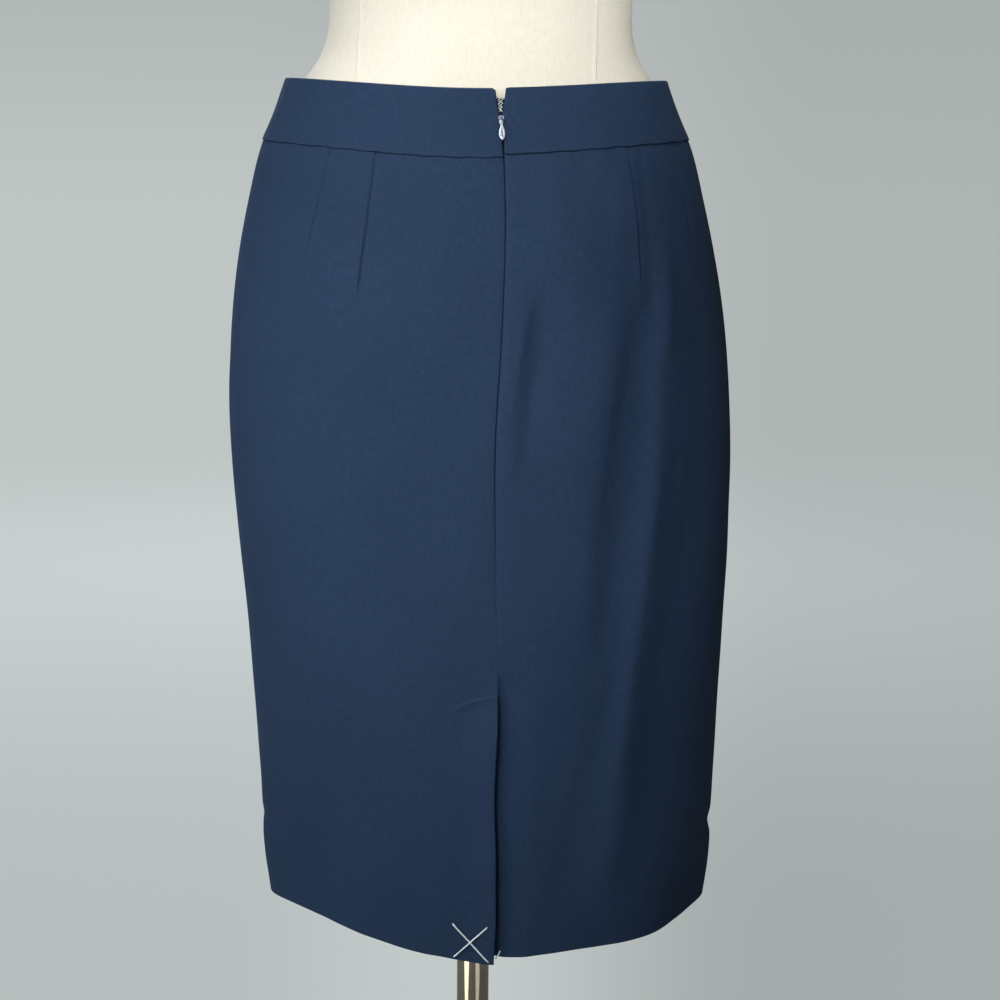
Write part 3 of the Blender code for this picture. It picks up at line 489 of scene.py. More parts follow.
class Nodes:
    """Adds nodes to one tree. An input that is a socket is linked, and any other value is set."""

    def __init__(self, tree):
        self.tree = tree

    def feed(self, node, inputs):
        """Gives a node its inputs, by name or place."""
        for label, value in dict(inputs).items():
            if isinstance(value, bpy.types.NodeSocket):
                self.tree.links.new(value, node.inputs[label])
            else:
                node.inputs[label].default_value = value

    def add(self, kind, inputs=(), out=0, **settings):
        """A new node with its settings and inputs; gives one of its outputs."""
        node = self.tree.nodes.new("ShaderNode" + kind)
        for label, value in settings.items():
            setattr(node, label, value)
        self.feed(node, inputs)
        return node.outputs[out]

    def math(self, operation, *values):
        """A Math node's result."""
        return self.add("Math", enumerate(values), operation=operation)

    def noise(self, vector, scale, detail=2.0, roughness=0.5):
        """A Noise texture's value."""
        return self.add("TexNoise", {"Scale": scale, "Detail": detail, "Roughness": roughness, "Vector": vector}, "Fac")

    def grain(self, vector, sizes, detail=2.0, roughness=0.6):
        """A noise on a vector times three sizes, so that it runs longer one way."""
        sized = self.add("VectorMath", enumerate((vector, sizes)), operation="MULTIPLY")
        return self.noise(sized, 1.0, detail, roughness)

    def ramp(self, value, *stops):
        """A colour ramp with (position, colour) stops."""
        colour = self.add("ValToRGB", {"Fac": value})
        elements = colour.node.color_ramp.elements
        while len(elements) < len(stops):
            elements.new(0.5)
        for element, (position, shade) in zip(elements, stops):
            element.position = position
            element.color = (*shade, 1.0)
        return colour

    def eased(self, value, start, end, low, high):
        """A value mapped smoothly from one range to another."""
        return self.add("MapRange", {"From Min": start, "From Max": end, "To Min": low, "To Max": high, "Value": value},
                        "Result", interpolation_type="SMOOTHSTEP")

    def bump(self, height, strength, distance):
        """A height made a normal."""
        return self.add("Bump", {"Strength": strength, "Distance": distance, "Height": height}, "Normal")


def new_group(name, inputs, outputs):
    """An empty node group: its nodes, its named inputs, beside the Vector, with their values, and its outputs."""
    group = bpy.data.node_groups.new(name, "ShaderNodeTree")
    group.interface.new_socket("Vector", in_out="INPUT", socket_type="NodeSocketVector")
    for label, value in inputs.items():
        group.interface.new_socket(label, in_out="INPUT", socket_type="NodeSocketFloat").default_value = value
    for label in outputs:
        group.interface.new_socket(label, in_out="OUTPUT", socket_type="NodeSocketFloat")
    return Nodes(group), group.nodes.new("NodeGroupInput").outputs, group.nodes.new("NodeGroupOutput")


def weave_group():
    """Threads over and under each other: the product of two sines, roughened by a fine noise, with slubs,
    which are noises stretched along either thread. Puts out a height and a shade, both about 0 to 1."""
    nodes, source, result = new_group("weave", {"Threads": 2000.0, "Pebble": 0.5}, ("Height", "Shade"))
    vector = source["Vector"]
    split = nodes.add("SeparateXYZ", {0: vector}).node.outputs
    sines = [nodes.math("SINE", nodes.math("MULTIPLY", nodes.math("MULTIPLY", split[axis], source["Threads"]), math.pi))
             for axis in (0, 1)]
    crossing = nodes.math("MULTIPLY_ADD", nodes.math("MULTIPLY", *sines), 0.5, 0.5)
    pebble = nodes.noise(vector, 1500.0, 2.0, 0.6)
    height = nodes.add("Mix", {"Factor": source["Pebble"], "A": crossing, "B": pebble}, "Result")
    warp = nodes.grain(vector, (1300.0, 28.0, 1.0))
    weft = nodes.grain(vector, (34.0, 1500.0, 1.0))
    slub = nodes.math("MULTIPLY", nodes.math("ADD", warp, weft), 0.5)
    shade = nodes.math("MULTIPLY", nodes.math("ADD", slub, height), 0.5)
    nodes.feed(result, {"Height": height, "Shade": shade})
    return nodes.tree


def polish_group():
    """Fine wear on metal: a long-grained noise and a blotchy one. Puts out a roughness and a height."""
    nodes, source, result = new_group("polish", {"Low": 0.2, "High": 0.4, "Grain": 1.0}, ("Roughness", "Height"))
    grain = nodes.grain(source["Vector"], (900.0, 900.0, 24.0), 3.0)
    blotch = nodes.noise(source["Vector"], 45.0, 3.0, 0.55)
    both = nodes.math("MULTIPLY", nodes.math("ADD", grain, blotch), 0.5)
    rough = nodes.add("MapRange", {"From Min": 0.35, "From Max": 0.65, "Value": both, "To Min": source["Low"],
                                   "To Max": source["High"]}, "Result")
    nodes.feed(result, {"Roughness": rough, "Height": nodes.math("MULTIPLY", grain, source["Grain"])})
    return nodes.tree


WEAVE = weave_group()
POLISH = polish_group()


def new_material(name, **constants):
    """A material with a Principled shader, whose even values are set on the shader's own sockets."""
    material = bpy.data.materials.new(name)
    material.use_nodes = True
    nodes = Nodes(material.node_tree)
    shader = material.node_tree.nodes["Principled BSDF"]
    nodes.feed(shader, {label.replace("_", " "): value for label, value in constants.items()})
    return material, nodes, shader


def woven_material(name, dark, light, threads, pebble, strength, distance, kind="UV", lint=None, **constants):
    """A woven cloth: its colour and roughness follow the weave's shade, and it is bumped by its height."""
    material, nodes, shader = new_material(name, **constants)
    vector = nodes.add("TexCoord", out=kind)
    weave = nodes.add("Group", {"Vector": vector, "Threads": threads, "Pebble": pebble}, node_tree=WEAVE).node.outputs
    cloud = nodes.math("MULTIPLY", nodes.noise(vector, 9.0, 3.0, 0.5), 0.25)
    drift = nodes.math("MULTIPLY_ADD", nodes.grain(vector, (300.0, 190.0, 1.0), 4.0, 0.72), 0.60, cloud)
    tone = nodes.math("MULTIPLY_ADD", weave["Shade"], 0.30, drift)
    colour = nodes.ramp(tone, (0.35, dark), (0.75, light))
    if lint is not None:
        specks = nodes.add("TexVoronoi", {"Scale": 55.0, "Vector": vector}, "Distance")
        colour = nodes.add("Mix", {"Factor": nodes.math("LESS_THAN", specks, 0.018), "A": colour, "B": (*lint, 1.0)},
                           "Result", data_type="RGBA")
    nodes.feed(shader, {"Base Color": colour, "Roughness": nodes.math("MULTIPLY_ADD", tone, 0.25, 0.66),
                        "Normal": nodes.bump(weave["Height"], strength, distance)})
    return material


def metal_material(name, dull, bright, low, high, grain=1.0, strength=0.05, distance=0.0001):
    """A plated metal: its colour and roughness follow the fine wear."""
    material, nodes, shader = new_material(name, Metallic=1.0)
    vector = nodes.add("TexCoord", out="Object")
    wear = nodes.add("Group", {"Vector": vector, "Low": low, "High": high, "Grain": grain},
                     node_tree=POLISH).node.outputs
    blotch = nodes.noise(vector, 30.0, 3.0, 0.5)
    nodes.feed(shader, {"Base Color": nodes.ramp(blotch, (0.35, dull), (0.65, bright)), "Roughness": wear["Roughness"],
                        "Normal": nodes.bump(wear["Height"], strength, distance)})
    return material


def wood_material():
    """Turned wood under varnish: rings of a distorted wave, with fine pores."""
    material, nodes, shader = new_material("cap_wood", Coat_Roughness=0.25)
    vector = nodes.add("TexCoord", out="Object")
    rings = nodes.add("TexWave", {"Scale": 38.0, "Distortion": 2.2, "Detail": 3.0, "Detail Scale": 1.4,
                                  "Vector": vector}, "Fac", wave_type="RINGS", rings_direction="X")
    pores = nodes.math("MULTIPLY", nodes.grain(vector, (60.0, 900.0, 900.0)), 0.4)
    grain = nodes.math("MULTIPLY_ADD", rings, 0.6, pores)
    colour = nodes.ramp(grain, (0.15, (0.16, 0.078, 0.034)), (0.55, (0.33, 0.18, 0.085)), (0.9, (0.47, 0.29, 0.15)))
    nodes.feed(shader, {"Base Color": colour, "Roughness": nodes.math("MULTIPLY_ADD", grain, 0.2, 0.32),
                        "Coat Weight": nodes.math("MULTIPLY_ADD", grain, -0.3, 0.7),
                        "Normal": nodes.bump(grain, 0.15, 0.0002)})
    return material


SUITING = woven_material("navy_suiting", (0.0112, 0.0255, 0.058), (0.0222, 0.0435, 0.0925), 2300.0, 0.55, 0.30,
                         0.00012, lint=(0.10, 0.13, 0.18), Sheen_Weight=0.04, Sheen_Roughness=0.45,
                         Sheen_Tint=(0.33, 0.52, 0.80, 1.0), Specular_IOR_Level=0.10)
TAPE = woven_material("zip_tape", (0.006, 0.010, 0.024), (0.012, 0.020, 0.042), 1500.0, 0.2, 0.3, 0.0001,
                      Specular_IOR_Level=0.05)
COVER = woven_material("form_cover", (0.63, 0.595, 0.505), (0.74, 0.715, 0.635), 1400.0, 0.35, 0.18, 0.0002,
                       lint=(0.42, 0.35, 0.26), Sheen_Weight=0.04, Sheen_Roughness=0.5, Specular_IOR_Level=0.2)
THREAD = woven_material("tack_thread", (0.60, 0.70, 0.78), (0.84, 0.92, 0.97), 3000.0, 0.7, 0.3, 0.0001,
                        kind="Object", Sheen_Weight=0.2)
SELF_THREAD = woven_material("self_thread", (0.036, 0.056, 0.104), (0.070, 0.100, 0.170), 3000.0, 0.7, 0.3,
                             0.0001, kind="Object", Specular_IOR_Level=0.1)
NYLON = woven_material("zip_coil", (0.50, 0.50, 0.48), (0.72, 0.72, 0.70), 2500.0, 0.8, 0.1, 0.00005, kind="Object")
ZIP_METAL = metal_material("zip_metal", (0.36, 0.40, 0.48), (0.48, 0.52, 0.60), 0.24, 0.38)
POLE_NICKEL = metal_material("pole_nickel", (0.46, 0.36, 0.26), (0.55, 0.45, 0.34), 0.05, 0.10, 0.6, 0.02)
BASE_METAL = metal_material("base_metal", (0.46, 0.43, 0.40), (0.58, 0.55, 0.51), 0.26, 0.42)
CAP_WOOD = wood_material()

# ---- skirt panels

DART_OFFSETS = np.degrees(np.array([-3.2, -1.8, -1.0, -0.7, -0.45, -0.22, 0.0, 0.22, 0.45, 0.7, 1.0, 1.8, 3.2])
                          * 0.001 / SIDE_RADIUS)
HEM_OFFSETS = np.array([-0.0012, -0.0004, 0.0004, 0.0012])
FLAP_OFFSETS = np.arange(-0.0132, 0.0021, 0.0004)
LAP_OFFSETS = np.array([-0.0016, -0.0008, -0.0004, 0.0, 0.0004, 0.0008, 0.0016])
EDGE_DEGREES = math.degrees(TURNED / 2 / SIDE_RADIUS)
GAP_DEGREES = math.degrees(SEAM_GAP / 2 / SIDE_RADIUS)
PANEL_TOP = WAIST_SEAM - SEAM_GAP / 2
HEM_PRINT = 0.00022         # how far the turned hem's top edge shows through, and how far down it does
HEM_PRINT_REACH = 0.045
GATHER_LONG = 0.00022       # heights of the long and the short gathers, and how far both lie sunk
GATHER_SHORT = 0.00018
GATHER_SINK = 0.00025
GATHER_REACH = 0.0042
SEAM_EASE_REACH = 0.0035
CENTRE_DIPS = ((0.00035, 0.0045), (0.00030, 0.0012))    # depth and reach
STITCH_RIDGE = 0.0011       # height of the ridge along the underlap's stitches, and its reach up and down
STITCH_STEEP = 0.0009
STITCH_LONG = 0.0042


def panel_columns(start, end, step):
    """A panel's angles between its side seams, with close ones at its darts."""
    middles = [dart.angle if dart.angle > start else dart.angle + 360.0 for dart in DARTS]
    marks = [(middle, DART_OFFSETS) for middle in middles if start < middle < end]
    return spread(start + GAP_DEGREES, end - GAP_DEGREES, step, marks, EDGE_DEGREES)


def panel_rows(step, vent=None):
    """A panel's levels, with close ones at the hem's allowance and, where it has one, at the vent's top."""
    return spread(0.0, PANEL_TOP, step, [(HEM_ALLOWANCE, HEM_OFFSETS)] + ([] if vent is None else [(VENT_TOP, vent)]))


def panel_level(angle, level, offset):
    """Where a level of a panel comes to lie, between its uneven hem and its waist seam."""
    return level + hem_rise(angle, level) + waist_shift(angle, level, offset) + waist_bite(angle, level)


def panel_lift(angle, level, own_level):
    """A panel's lift. Two things go with its own levels: the turned hem's top edge, which shows through as
    a step, and small uneven gathers, two sines across, in the few millimetres below the waist seam."""
    above = HEM_ALLOWANCE - own_level
    hem_print = HEM_PRINT * smooth(above / 0.004 + 0.5) * smooth(1.0 - above / HEM_PRINT_REACH)
    arc = arc_of(angle)
    gathers = GATHER_LONG * ripple(arc, 0.0115, 1.3) * ripple(arc, 0.083) + GATHER_SHORT * ripple(arc, 0.0069)
    near = bell(WAIST_SEAM - own_level, GATHER_REACH)
    return cloth_lift(angle, level) + hem_print + (gathers - GATHER_SINK) * near


def seam_ease(angle, start, end):
    """A small hollow beside a seam, where the stitches draw the cloth in."""
    return SEAM_EASE * bell(arc_of(rim(angle, start, end)), SEAM_EASE_REACH)


def hem_thickness(level):
    """Two layers below the top of the turned hem, one above it."""
    return CLOTH + (TURNED - CLOTH) * smooth((HEM_ALLOWANCE - level) / 0.0012 + 0.5)


def panel_edge(angle, level, start, end):
    """Distance to the nearest of a panel's four edges, in metres."""
    sides = np.radians(rim(angle, start + GAP_DEGREES, end - GAP_DEGREES)) * SIDE_RADIUS
    return np.minimum(sides, rim(level, 0.0, PANEL_TOP)).clip(0.0)


def skirt_front():
    """The front, from side seam to side seam."""
    angle, own = np.meshgrid(panel_columns(90.0, 270.0, 1.15), panel_rows(0.0030))
    offset = LEFT_WAIST_OFFSET + (RIGHT_WAIST_OFFSET - LEFT_WAIST_OFFSET) * smooth((angle - 90.0) / 180.0)
    level = panel_level(angle, own, offset)
    return shell("front_panel", angle, level, panel_lift(angle, level, own) - seam_ease(angle, 90.0, 270.0),
                 hem_thickness(own), panel_edge(angle, own, 90.0, 270.0), SUITING, slot="navy_suiting",
                 node="skirt_front")


def flap_roll(angle, level):
    """The vent's free edge stands off in slow waves that die out away from it and at the vent's top."""
    return bell(np.radians(angle) * VENT_RADIUS, FLAP_ROLL_REACH) * np.clip(column(FLAP_ROLL, "off", level), 0.0, None)


def stitch_line(angle):
    """Level of the slanting row of stitches that holds the underlap: it falls faster further from the vent."""
    return VENT_TOP - UNDERLAP_SLANT * np.clip(angle / UNDERLAP, 0.0, 1.1) ** 1.9


def stitch_lift(angle, level):
    """A ridge along the slanting stitches, steep above and long below, which fades at the row's ends."""
    below = stitch_line(angle) - level
    ends = smooth(angle / 0.8 + 0.3) * smooth((UNDERLAP + 0.3 - angle) / 1.6)
    uneven = 1.0 + 0.35 * np.sin(angle * 2.9) * np.sin(angle * 1.3 + 0.6)
    return STITCH_RIDGE * ends * uneven * bell(below, np.where(below < 0.0, STITCH_STEEP, STITCH_LONG))


def centre_seam(angle, level):
    """The closed centre back seam's dip: a narrow bell beside a wider one, which deepens up from the vent."""
    away = np.radians(angle) * CENTRE_RADIUS
    return sum(depth * bell(away, reach) for depth, reach in CENTRE_DIPS) * smooth((level - VENT_TOP) / 0.090)


def seam_parting(angle, level):
    """Degrees by which the centre seam's edges part: most at the top, and drawn together above the vent."""
    parting = SEAM_PARTING * (smooth((level - SEAM_PARTING_START) / 0.10) + 0.6 * smooth((level - 0.50) / 0.07))
    parting -= SEAM_CLOSED * smooth((level - VENT_TOP) / 0.003) * smooth((SEAM_PARTING_START + 0.08 - level) / 0.08)
    return np.degrees(parting / CENTRE_RADIUS) * bell(angle, 6.0)


def skirt_back_left():
    """The left back with the vent's overlap, whose turned edge is two layers thick and drops at its corner."""
    angle, own = np.meshgrid(panel_columns(0.0, 90.0, 0.85), panel_rows(0.0026, FLAP_OFFSETS))
    drop = FLAP_DROP * smooth(1.0 - angle / FLAP_REACH) * smooth(1.0 - own / HEM_REACH)
    level = panel_level(angle, own, LEFT_WAIST_OFFSET) - drop
    lift = panel_lift(angle, level, own) + flap_roll(angle, level) + stitch_lift(angle, level)
    lift -= seam_ease(angle, -90.0, 90.0) + centre_seam(angle, level)
    facing = CLOTH + (TURNED - CLOTH) * smooth((VENT_ALLOWANCE - angle) / 0.5 + 0.5) * (own < VENT_TOP)
    return shell("back_left_panel", angle + seam_parting(angle, level), level, lift,
                 np.maximum(hem_thickness(own), facing), panel_edge(angle, own, 0.0, 90.0), SUITING,
                 slot="navy_suiting", node="skirt_back_left")


def skirt_back_right():
    """The right back with its underlap: the lap's columns go on past the centre, under the flap, and the
    cloth steps in towards it below the vent's top."""
    columns = panel_columns(-90.0, 0.0, 0.80)
    lap = spread(-GAP_DEGREES, UNDERLAP, 0.9, (), EDGE_DEGREES)[EDGE_STEPS:]
    rows = panel_rows(0.0026, LAP_OFFSETS)
    angle, own = np.meshgrid(np.concatenate([columns, lap]), rows)
    slant = UNDERLAP_SLANT / VENT_TOP * np.clip(angle / UNDERLAP, 0.0, 1.0)
    shorter = UNDERLAP_HEM * smooth(1.0 + angle / 30.0) * smooth(1.0 - own / HEM_REACH)
    level = panel_level(angle, own, RIGHT_WAIST_OFFSET) - own * slant + shorter
    tuck = VENT_TUCK * smooth((VENT_TOP + TUCK_RISE - level) / TUCK_RISE) * smooth(1.0 + angle / TUCK_REACH)
    dip = LAP_DIP * smooth((VENT_TOP - level) / 0.012)
    tuck = np.where(angle > 0.0, VENT_TUCK + dip, tuck + dip * bell(np.radians(angle) * VENT_RADIUS, LAP_DIP_REACH))
    lift = panel_lift(angle, level, own) - tuck
    lift -= seam_ease(angle, -90.0, 90.0) * (angle < -45.0) + centre_seam(angle, level)
    across = np.radians(np.abs(angle + GAP_DEGREES)) * CENTRE_RADIUS
    down = VENT_TOP - own
    centre_edge = np.where(down < 0.0, across, np.where(angle > -GAP_DEGREES, down, np.hypot(across, down)))
    sides = np.radians(rim(angle, -90.0 + GAP_DEGREES, UNDERLAP)) * SIDE_RADIUS
    edge = np.minimum(np.minimum(rim(own, 0.0, PANEL_TOP), centre_edge), sides).clip(0.0)
    centre = len(columns) - 1
    vent_row = int(np.argmin(np.abs(rows - VENT_TOP)))
    edge[vent_row:, centre] = 0.0
    edge[vent_row, centre:] = 0.0
    kept = np.ones((len(rows) - 1, angle.shape[1] - 1), dtype=bool)
    kept[vent_row:, centre:] = False
    return shell("back_right_panel", angle - seam_parting(angle, level), level, lift, hem_thickness(own), edge,
                 SUITING, kept=kept, slot="navy_suiting", node="skirt_back_right")


# ---- waistband and the layers inside

BAND_SUNK = 0.0014          # how much of the band's thickness lies inside the skirt's outline
BAND_CORNER = 0.0024        # how far along the band its worn corner reaches
BAND_PARTING = 0.00018      # half the gap between the band's ends, and what is added below the slider
BAND_PARTING_LOW = 0.00030


def band_lift(angle, level):
    """The band stands out from the seam, eases in at its middle and rolls a little at its top edge."""
    up = (level - WAIST_SEAM) / (BAND_TOP - WAIST_SEAM)
    arc = arc_of(angle)
    uneven = 0.00012 * ripple(arc, 0.034, 6.0 * up) + 0.00010 * ripple(arc, 0.061, -2.0)
    return BAND - BAND_SUNK + 0.00025 * bell(up, 0.12) - 0.0002 * np.sin(np.pi * up) + uneven


def band_piece(name, node, start, end, offsets, open_edge=0.0, corner=0.0):
    """One length of the waistband; its centre back edge bends away above the zip and its corner is worn
    round. The offsets are the waist seam's, at its first and last angle."""
    columns = spread(start + GAP_DEGREES, end - GAP_DEGREES, 1.0, (), math.degrees(BAND / 2 / BAND_RADIUS))
    rows = spread(WAIST_SEAM + SEAM_GAP / 2, BAND_TOP, 0.0016, (), BAND / 2)
    angle, own = np.meshgrid(columns, rows)
    sides = np.radians(rim(angle, columns[0], columns[-1])) * BAND_RADIUS
    edge = np.minimum(sides, np.minimum(SEAM_SNUG * (own - rows[0]), rows[-1] - own)).clip(0.0)
    offset = offsets[0] + (offsets[1] - offsets[0]) * smooth((angle - start) / (end - start))
    high = np.clip((own - WAIST_SEAM) / (BAND_TOP - WAIST_SEAM), 0.0, 1.0)
    worn = corner * smooth(1.0 - np.radians(np.abs(angle)) * BAND_BACK_RADIUS / BAND_CORNER) * high**8
    level = own + waist_shift(angle, own, offset) - worn
    opened = np.clip((own - ZIP_OPEN_LEVEL) / (BAND_TOP - ZIP_OPEN_LEVEL), 0.0, 1.0) ** ZIP_OPEN_POWER
    parting = ZIP_OPEN_HALF * opened + BAND_PARTING + BAND_PARTING_LOW * smooth((SLIDER_LEVEL - own) / 0.006)
    near = 1.0 - smooth(np.abs(angle) / 12.0)
    angle = angle + open_edge * near * np.degrees(parting / BAND_BACK_RADIUS)
    return shell(name, angle, level, band_lift(angle, own), np.full(angle.shape, BAND), edge, SUITING,
                 slot="navy_suiting", node=node)


def strip(name, start, end, low, high, lift, thick, material):
    """A narrow layer of cloth inside the skirt, between two angles and two levels."""
    columns = spread(start, end, 1.3, (), math.degrees(thick / 2 / SIDE_RADIUS))
    angle, level = np.meshgrid(columns, spread(low, high, 0.005, (), thick / 2))
    sides = np.radians(rim(angle, start, end)) * SIDE_RADIUS
    return shell(name, angle, level, fold_lift(angle, level) + lift, np.full(angle.shape, thick),
                 np.minimum(sides, rim(level, low, high)).clip(0.0), material)


# ---- tubes, turned shapes and blocks


def tube(path, outward, radius, sides, twist=None):
    """Points of a round or two-ply tube along a path of points. Each ring lies across the path, in the
    plane of the outward direction and the direction across it; two plies swell it where they lie."""
    along = np.gradient(path, axis=0)
    along /= np.linalg.norm(along, axis=1, keepdims=True)
    across = np.cross(along, outward)
    across /= np.linalg.norm(across, axis=1, keepdims=True)
    up = np.cross(across, along)
    turn = np.linspace(0.0, 2 * np.pi, sides, endpoint=False)[None, :]
    size = np.asarray(radius)[:, None] * np.ones_like(turn)
    if twist is not None:
        size = size * (0.72 + 0.28 * np.abs(np.cos(turn - twist[:, None])))
    offset = size[..., None] * (np.cos(turn)[..., None] * across[:, None] + np.sin(turn)[..., None] * up[:, None])
    return path[:, None, :] + offset


def tube_piece(name, rings, material, **made):
    """One object from several tubes' rings, each closed at its ends by a radius of nothing."""
    faces = []
    count = 0
    for ring in rings:
        faces.append(grid_faces(*ring.shape[:2], closed=True).reshape(-1, 4) + count)
        count += ring.shape[0] * ring.shape[1]
    points = np.concatenate([ring.reshape(-1, 3) for ring in rings])
    return make_piece(name, points, np.vstack(faces), material, merge=True, **made)


def round_ends(count, radius):
    """A radius along a tube that closes in a quarter round at each end."""
    from_end = rim(np.arange(count), 0, count - 1)
    return radius * np.sqrt(np.clip(1.0 - (1.0 - np.clip(from_end / 3.0, 0.0, 1.0)) ** 2, 0.0, 1.0))


def revolved(profile, sides):
    """A profile of (radius, height) points turned about Z: its rings of points and their faces."""
    turn = np.linspace(0.0, 2 * np.pi, sides, endpoint=False)
    points = np.stack([profile[:, :1] * np.cos(turn), profile[:, :1] * np.sin(turn),
                       profile[:, 1:] * np.ones_like(turn)], axis=-1)
    return points, grid_faces(len(profile), sides, closed=True)


def lathe(name, node, profile, material, slot, sides=128):
    """A piece turned from a profile."""
    return make_piece(name, *revolved(np.array(profile), sides), material, slot=slot, node=node, merge=True)


def rounded(profile, radius):
    """A profile whose corners are cut by a small quarter round, worked out from each corner's two runs."""
    profile = np.array(profile, dtype=float)
    points = [profile[0]]
    for before, corner, after in zip(profile, profile[1:], profile[2:]):
        runs = before - corner, after - corner
        lengths = [np.linalg.norm(run) for run in runs]
        reach = min(radius, 0.45 * min(lengths))
        for share in np.linspace(0.0, 1.0, 5):
            points.append(corner + runs[0] / lengths[0] * reach * (1 - share) ** 2
                          + runs[1] / lengths[1] * reach * share**2)
    points.append(profile[-1])
    return np.array(points)


def swelled(value, power):
    """A value's size to a power, with its sign."""
    return np.sign(value) * np.abs(value) ** power


def soft_block(centre, half, power, rows=17, columns=32):
    """A superellipsoid: a block with round corners, as rings from its bottom to its top."""
    rise = np.linspace(-np.pi / 2, np.pi / 2, rows)[:, None]
    turn = np.linspace(-np.pi, np.pi, columns, endpoint=False)[None, :]
    level = swelled(np.cos(rise), 2.0 / power)
    x = half[0] * level * swelled(np.cos(turn), 2.0 / power)
    y = half[1] * level * swelled(np.sin(turn), 2.0 / power)
    z = half[2] * swelled(np.sin(rise), 2.0 / power) * np.ones_like(turn)
    return np.stack([x, y, z], axis=-1) + np.array(centre)


# ---- zip

BAND_FACE = 0.0008
COIL_TOP = 0.6108
TAPE_TOP = 0.6096
COIL_TURNS = 4
COIL_RADIUS = 0.00022
PIN_RADIUS = 0.00038


def zip_place():
    """The slider's axes: X along the band, Y out from it, Z up it, with the origin on the band's face."""
    step = 0.002
    up = cloth(0.0, SLIDER_LEVEL + step, BAND_FACE) - cloth(0.0, SLIDER_LEVEL - step, BAND_FACE)
    up /= np.linalg.norm(up)
    along = cloth(1.0, SLIDER_LEVEL, BAND_FACE) - cloth(-1.0, SLIDER_LEVEL, BAND_FACE)
    along -= up * along.dot(up)
    along /= np.linalg.norm(along)
    return cloth(0.0, SLIDER_LEVEL, BAND_FACE), np.stack([along, np.cross(up, along), up])


ZIP_MIDDLE, ZIP_AXES = zip_place()


def on_zip(points):
    """Points from the slider's own axes into the object's."""
    return points @ ZIP_AXES + ZIP_MIDDLE


def zip_slider():
    """Soft blocks for the plate, two cheeks and the crown, with a round pin between the cheeks."""
    pin = np.stack([np.linspace(-0.0016, 0.0016, 12), np.full(12, PIN_OUT), np.zeros(12)], axis=-1)
    shapes = [
        soft_block((0.0, 0.0002, -0.0002), (0.0014, 0.00055, 0.003), 4.0),
        soft_block((-0.0015, 0.00175, 0.0005), (0.00028, 0.00105, 0.0014), 3.5),
        soft_block((0.0015, 0.00175, 0.0005), (0.00028, 0.00105, 0.0014), 3.5),
        soft_block((0.0, 0.002, 0.00165), (0.00198, 0.00115, 0.00085), 2.1, 21, 40),
        tube(pin, np.tile([0.0, 1.0, 0.0], (12, 1)), round_ends(12, PIN_RADIUS), 16),
    ]
    return tube_piece("slider", [on_zip(shape) for shape in shapes], ZIP_METAL, slot="zip_metal", node="zip_slider")


PULL = table("below half_width", [
    (0.0, 0.0008), (0.0024, 0.00078), (0.0044, 0.00095), (0.006, 0.00145), (0.0076, 0.0019),
    (0.0092, 0.00215), (0.0108, 0.00208), (0.0123, 0.00158), (0.0133, 0.00085), (0.0138, 0.0)])
PULL_TIP = -12              # the row from which the pull's tip is one round
SLOT_TOP = 0.0056
SLOT_END = 0.0120
SLOT_HALF = 0.00032
PULL_HALF = 0.00045

# Round the plate, from its slot out over its face and back underneath: the share of the way from slot to
# outline, and the height over the middle plane in half thicknesses.
PULL_PROFILE = np.array([
    (0.0, 0.0), (0.02, 0.7), (0.10, 1.0), (0.30, 0.85), (0.60, 0.85), (0.85, 1.0), (0.96, 0.75), (1.0, 0.0),
    (0.96, -0.75), (0.85, -1.0), (0.60, -0.9), (0.30, -0.9), (0.10, -1.0), (0.02, -0.7)])


def mirrored(right):
    """A closed outline from its right half."""
    return np.concatenate([right, right[-2:0:-1] * [-1.0, 1.0]])


def pull_tab():
    """A teardrop plate with a raised rim round its slot, and an eye round the pin. The plate's rings follow
    the slot and the outline round together."""
    below = np.array([row.below for row in PULL])
    at = below[-1] * np.sin(np.linspace(0.0, 1.0, 60) * np.pi / 2) ** 0.9
    side = np.interp(at, below, [row.half_width for row in PULL])
    tip = (at[PULL_TIP:] - at[PULL_TIP]) / (at[-1] - at[PULL_TIP])
    side[PULL_TIP:] = side[PULL_TIP] * np.sqrt(np.clip(1.0 - tip**2, 0.0, 1.0))
    top = np.linspace(0.0, side[0], 8)[:-1]
    right = np.concatenate([np.stack([top, np.zeros(7)], axis=-1), np.stack([side, -at], axis=-1)])
    turn = np.linspace(np.pi / 2, -np.pi / 2, len(right))
    slot_level = -(SLOT_TOP + SLOT_END) / 2 + (SLOT_END - SLOT_TOP) / 2 * np.sin(turn)
    slot = mirrored(np.stack([SLOT_HALF * np.abs(np.cos(turn)) ** 0.6, slot_level], axis=-1))
    place = slot[:, None, :] + (mirrored(right) - slot)[:, None, :] * PULL_PROFILE[None, :, :1]
    out = PIN_OUT + PULL_HALF * np.broadcast_to(PULL_PROFILE[None, :, 1], place.shape[:2])
    plate = np.stack([place[..., 0], out, place[..., 1]], axis=-1)
    turn = np.linspace(0.0, 2 * np.pi, 25)[:, None]
    across = np.linspace(0.0, 2 * np.pi, 20, endpoint=False)[None, :]
    wide = 0.00078 * swelled(np.cos(across), 0.5)
    reach = 0.00066 + 0.00019 * swelled(np.sin(across), 0.5)
    eye = np.stack(np.broadcast_arrays(wide, PIN_OUT + reach * np.cos(turn), reach * np.sin(turn)), axis=-1)
    return tube_piece("pull", [on_zip(np.concatenate([plate, plate[:1]])), on_zip(eye)], ZIP_METAL, body=SWINGING,
                      slot="zip_metal", node="zip_pull")


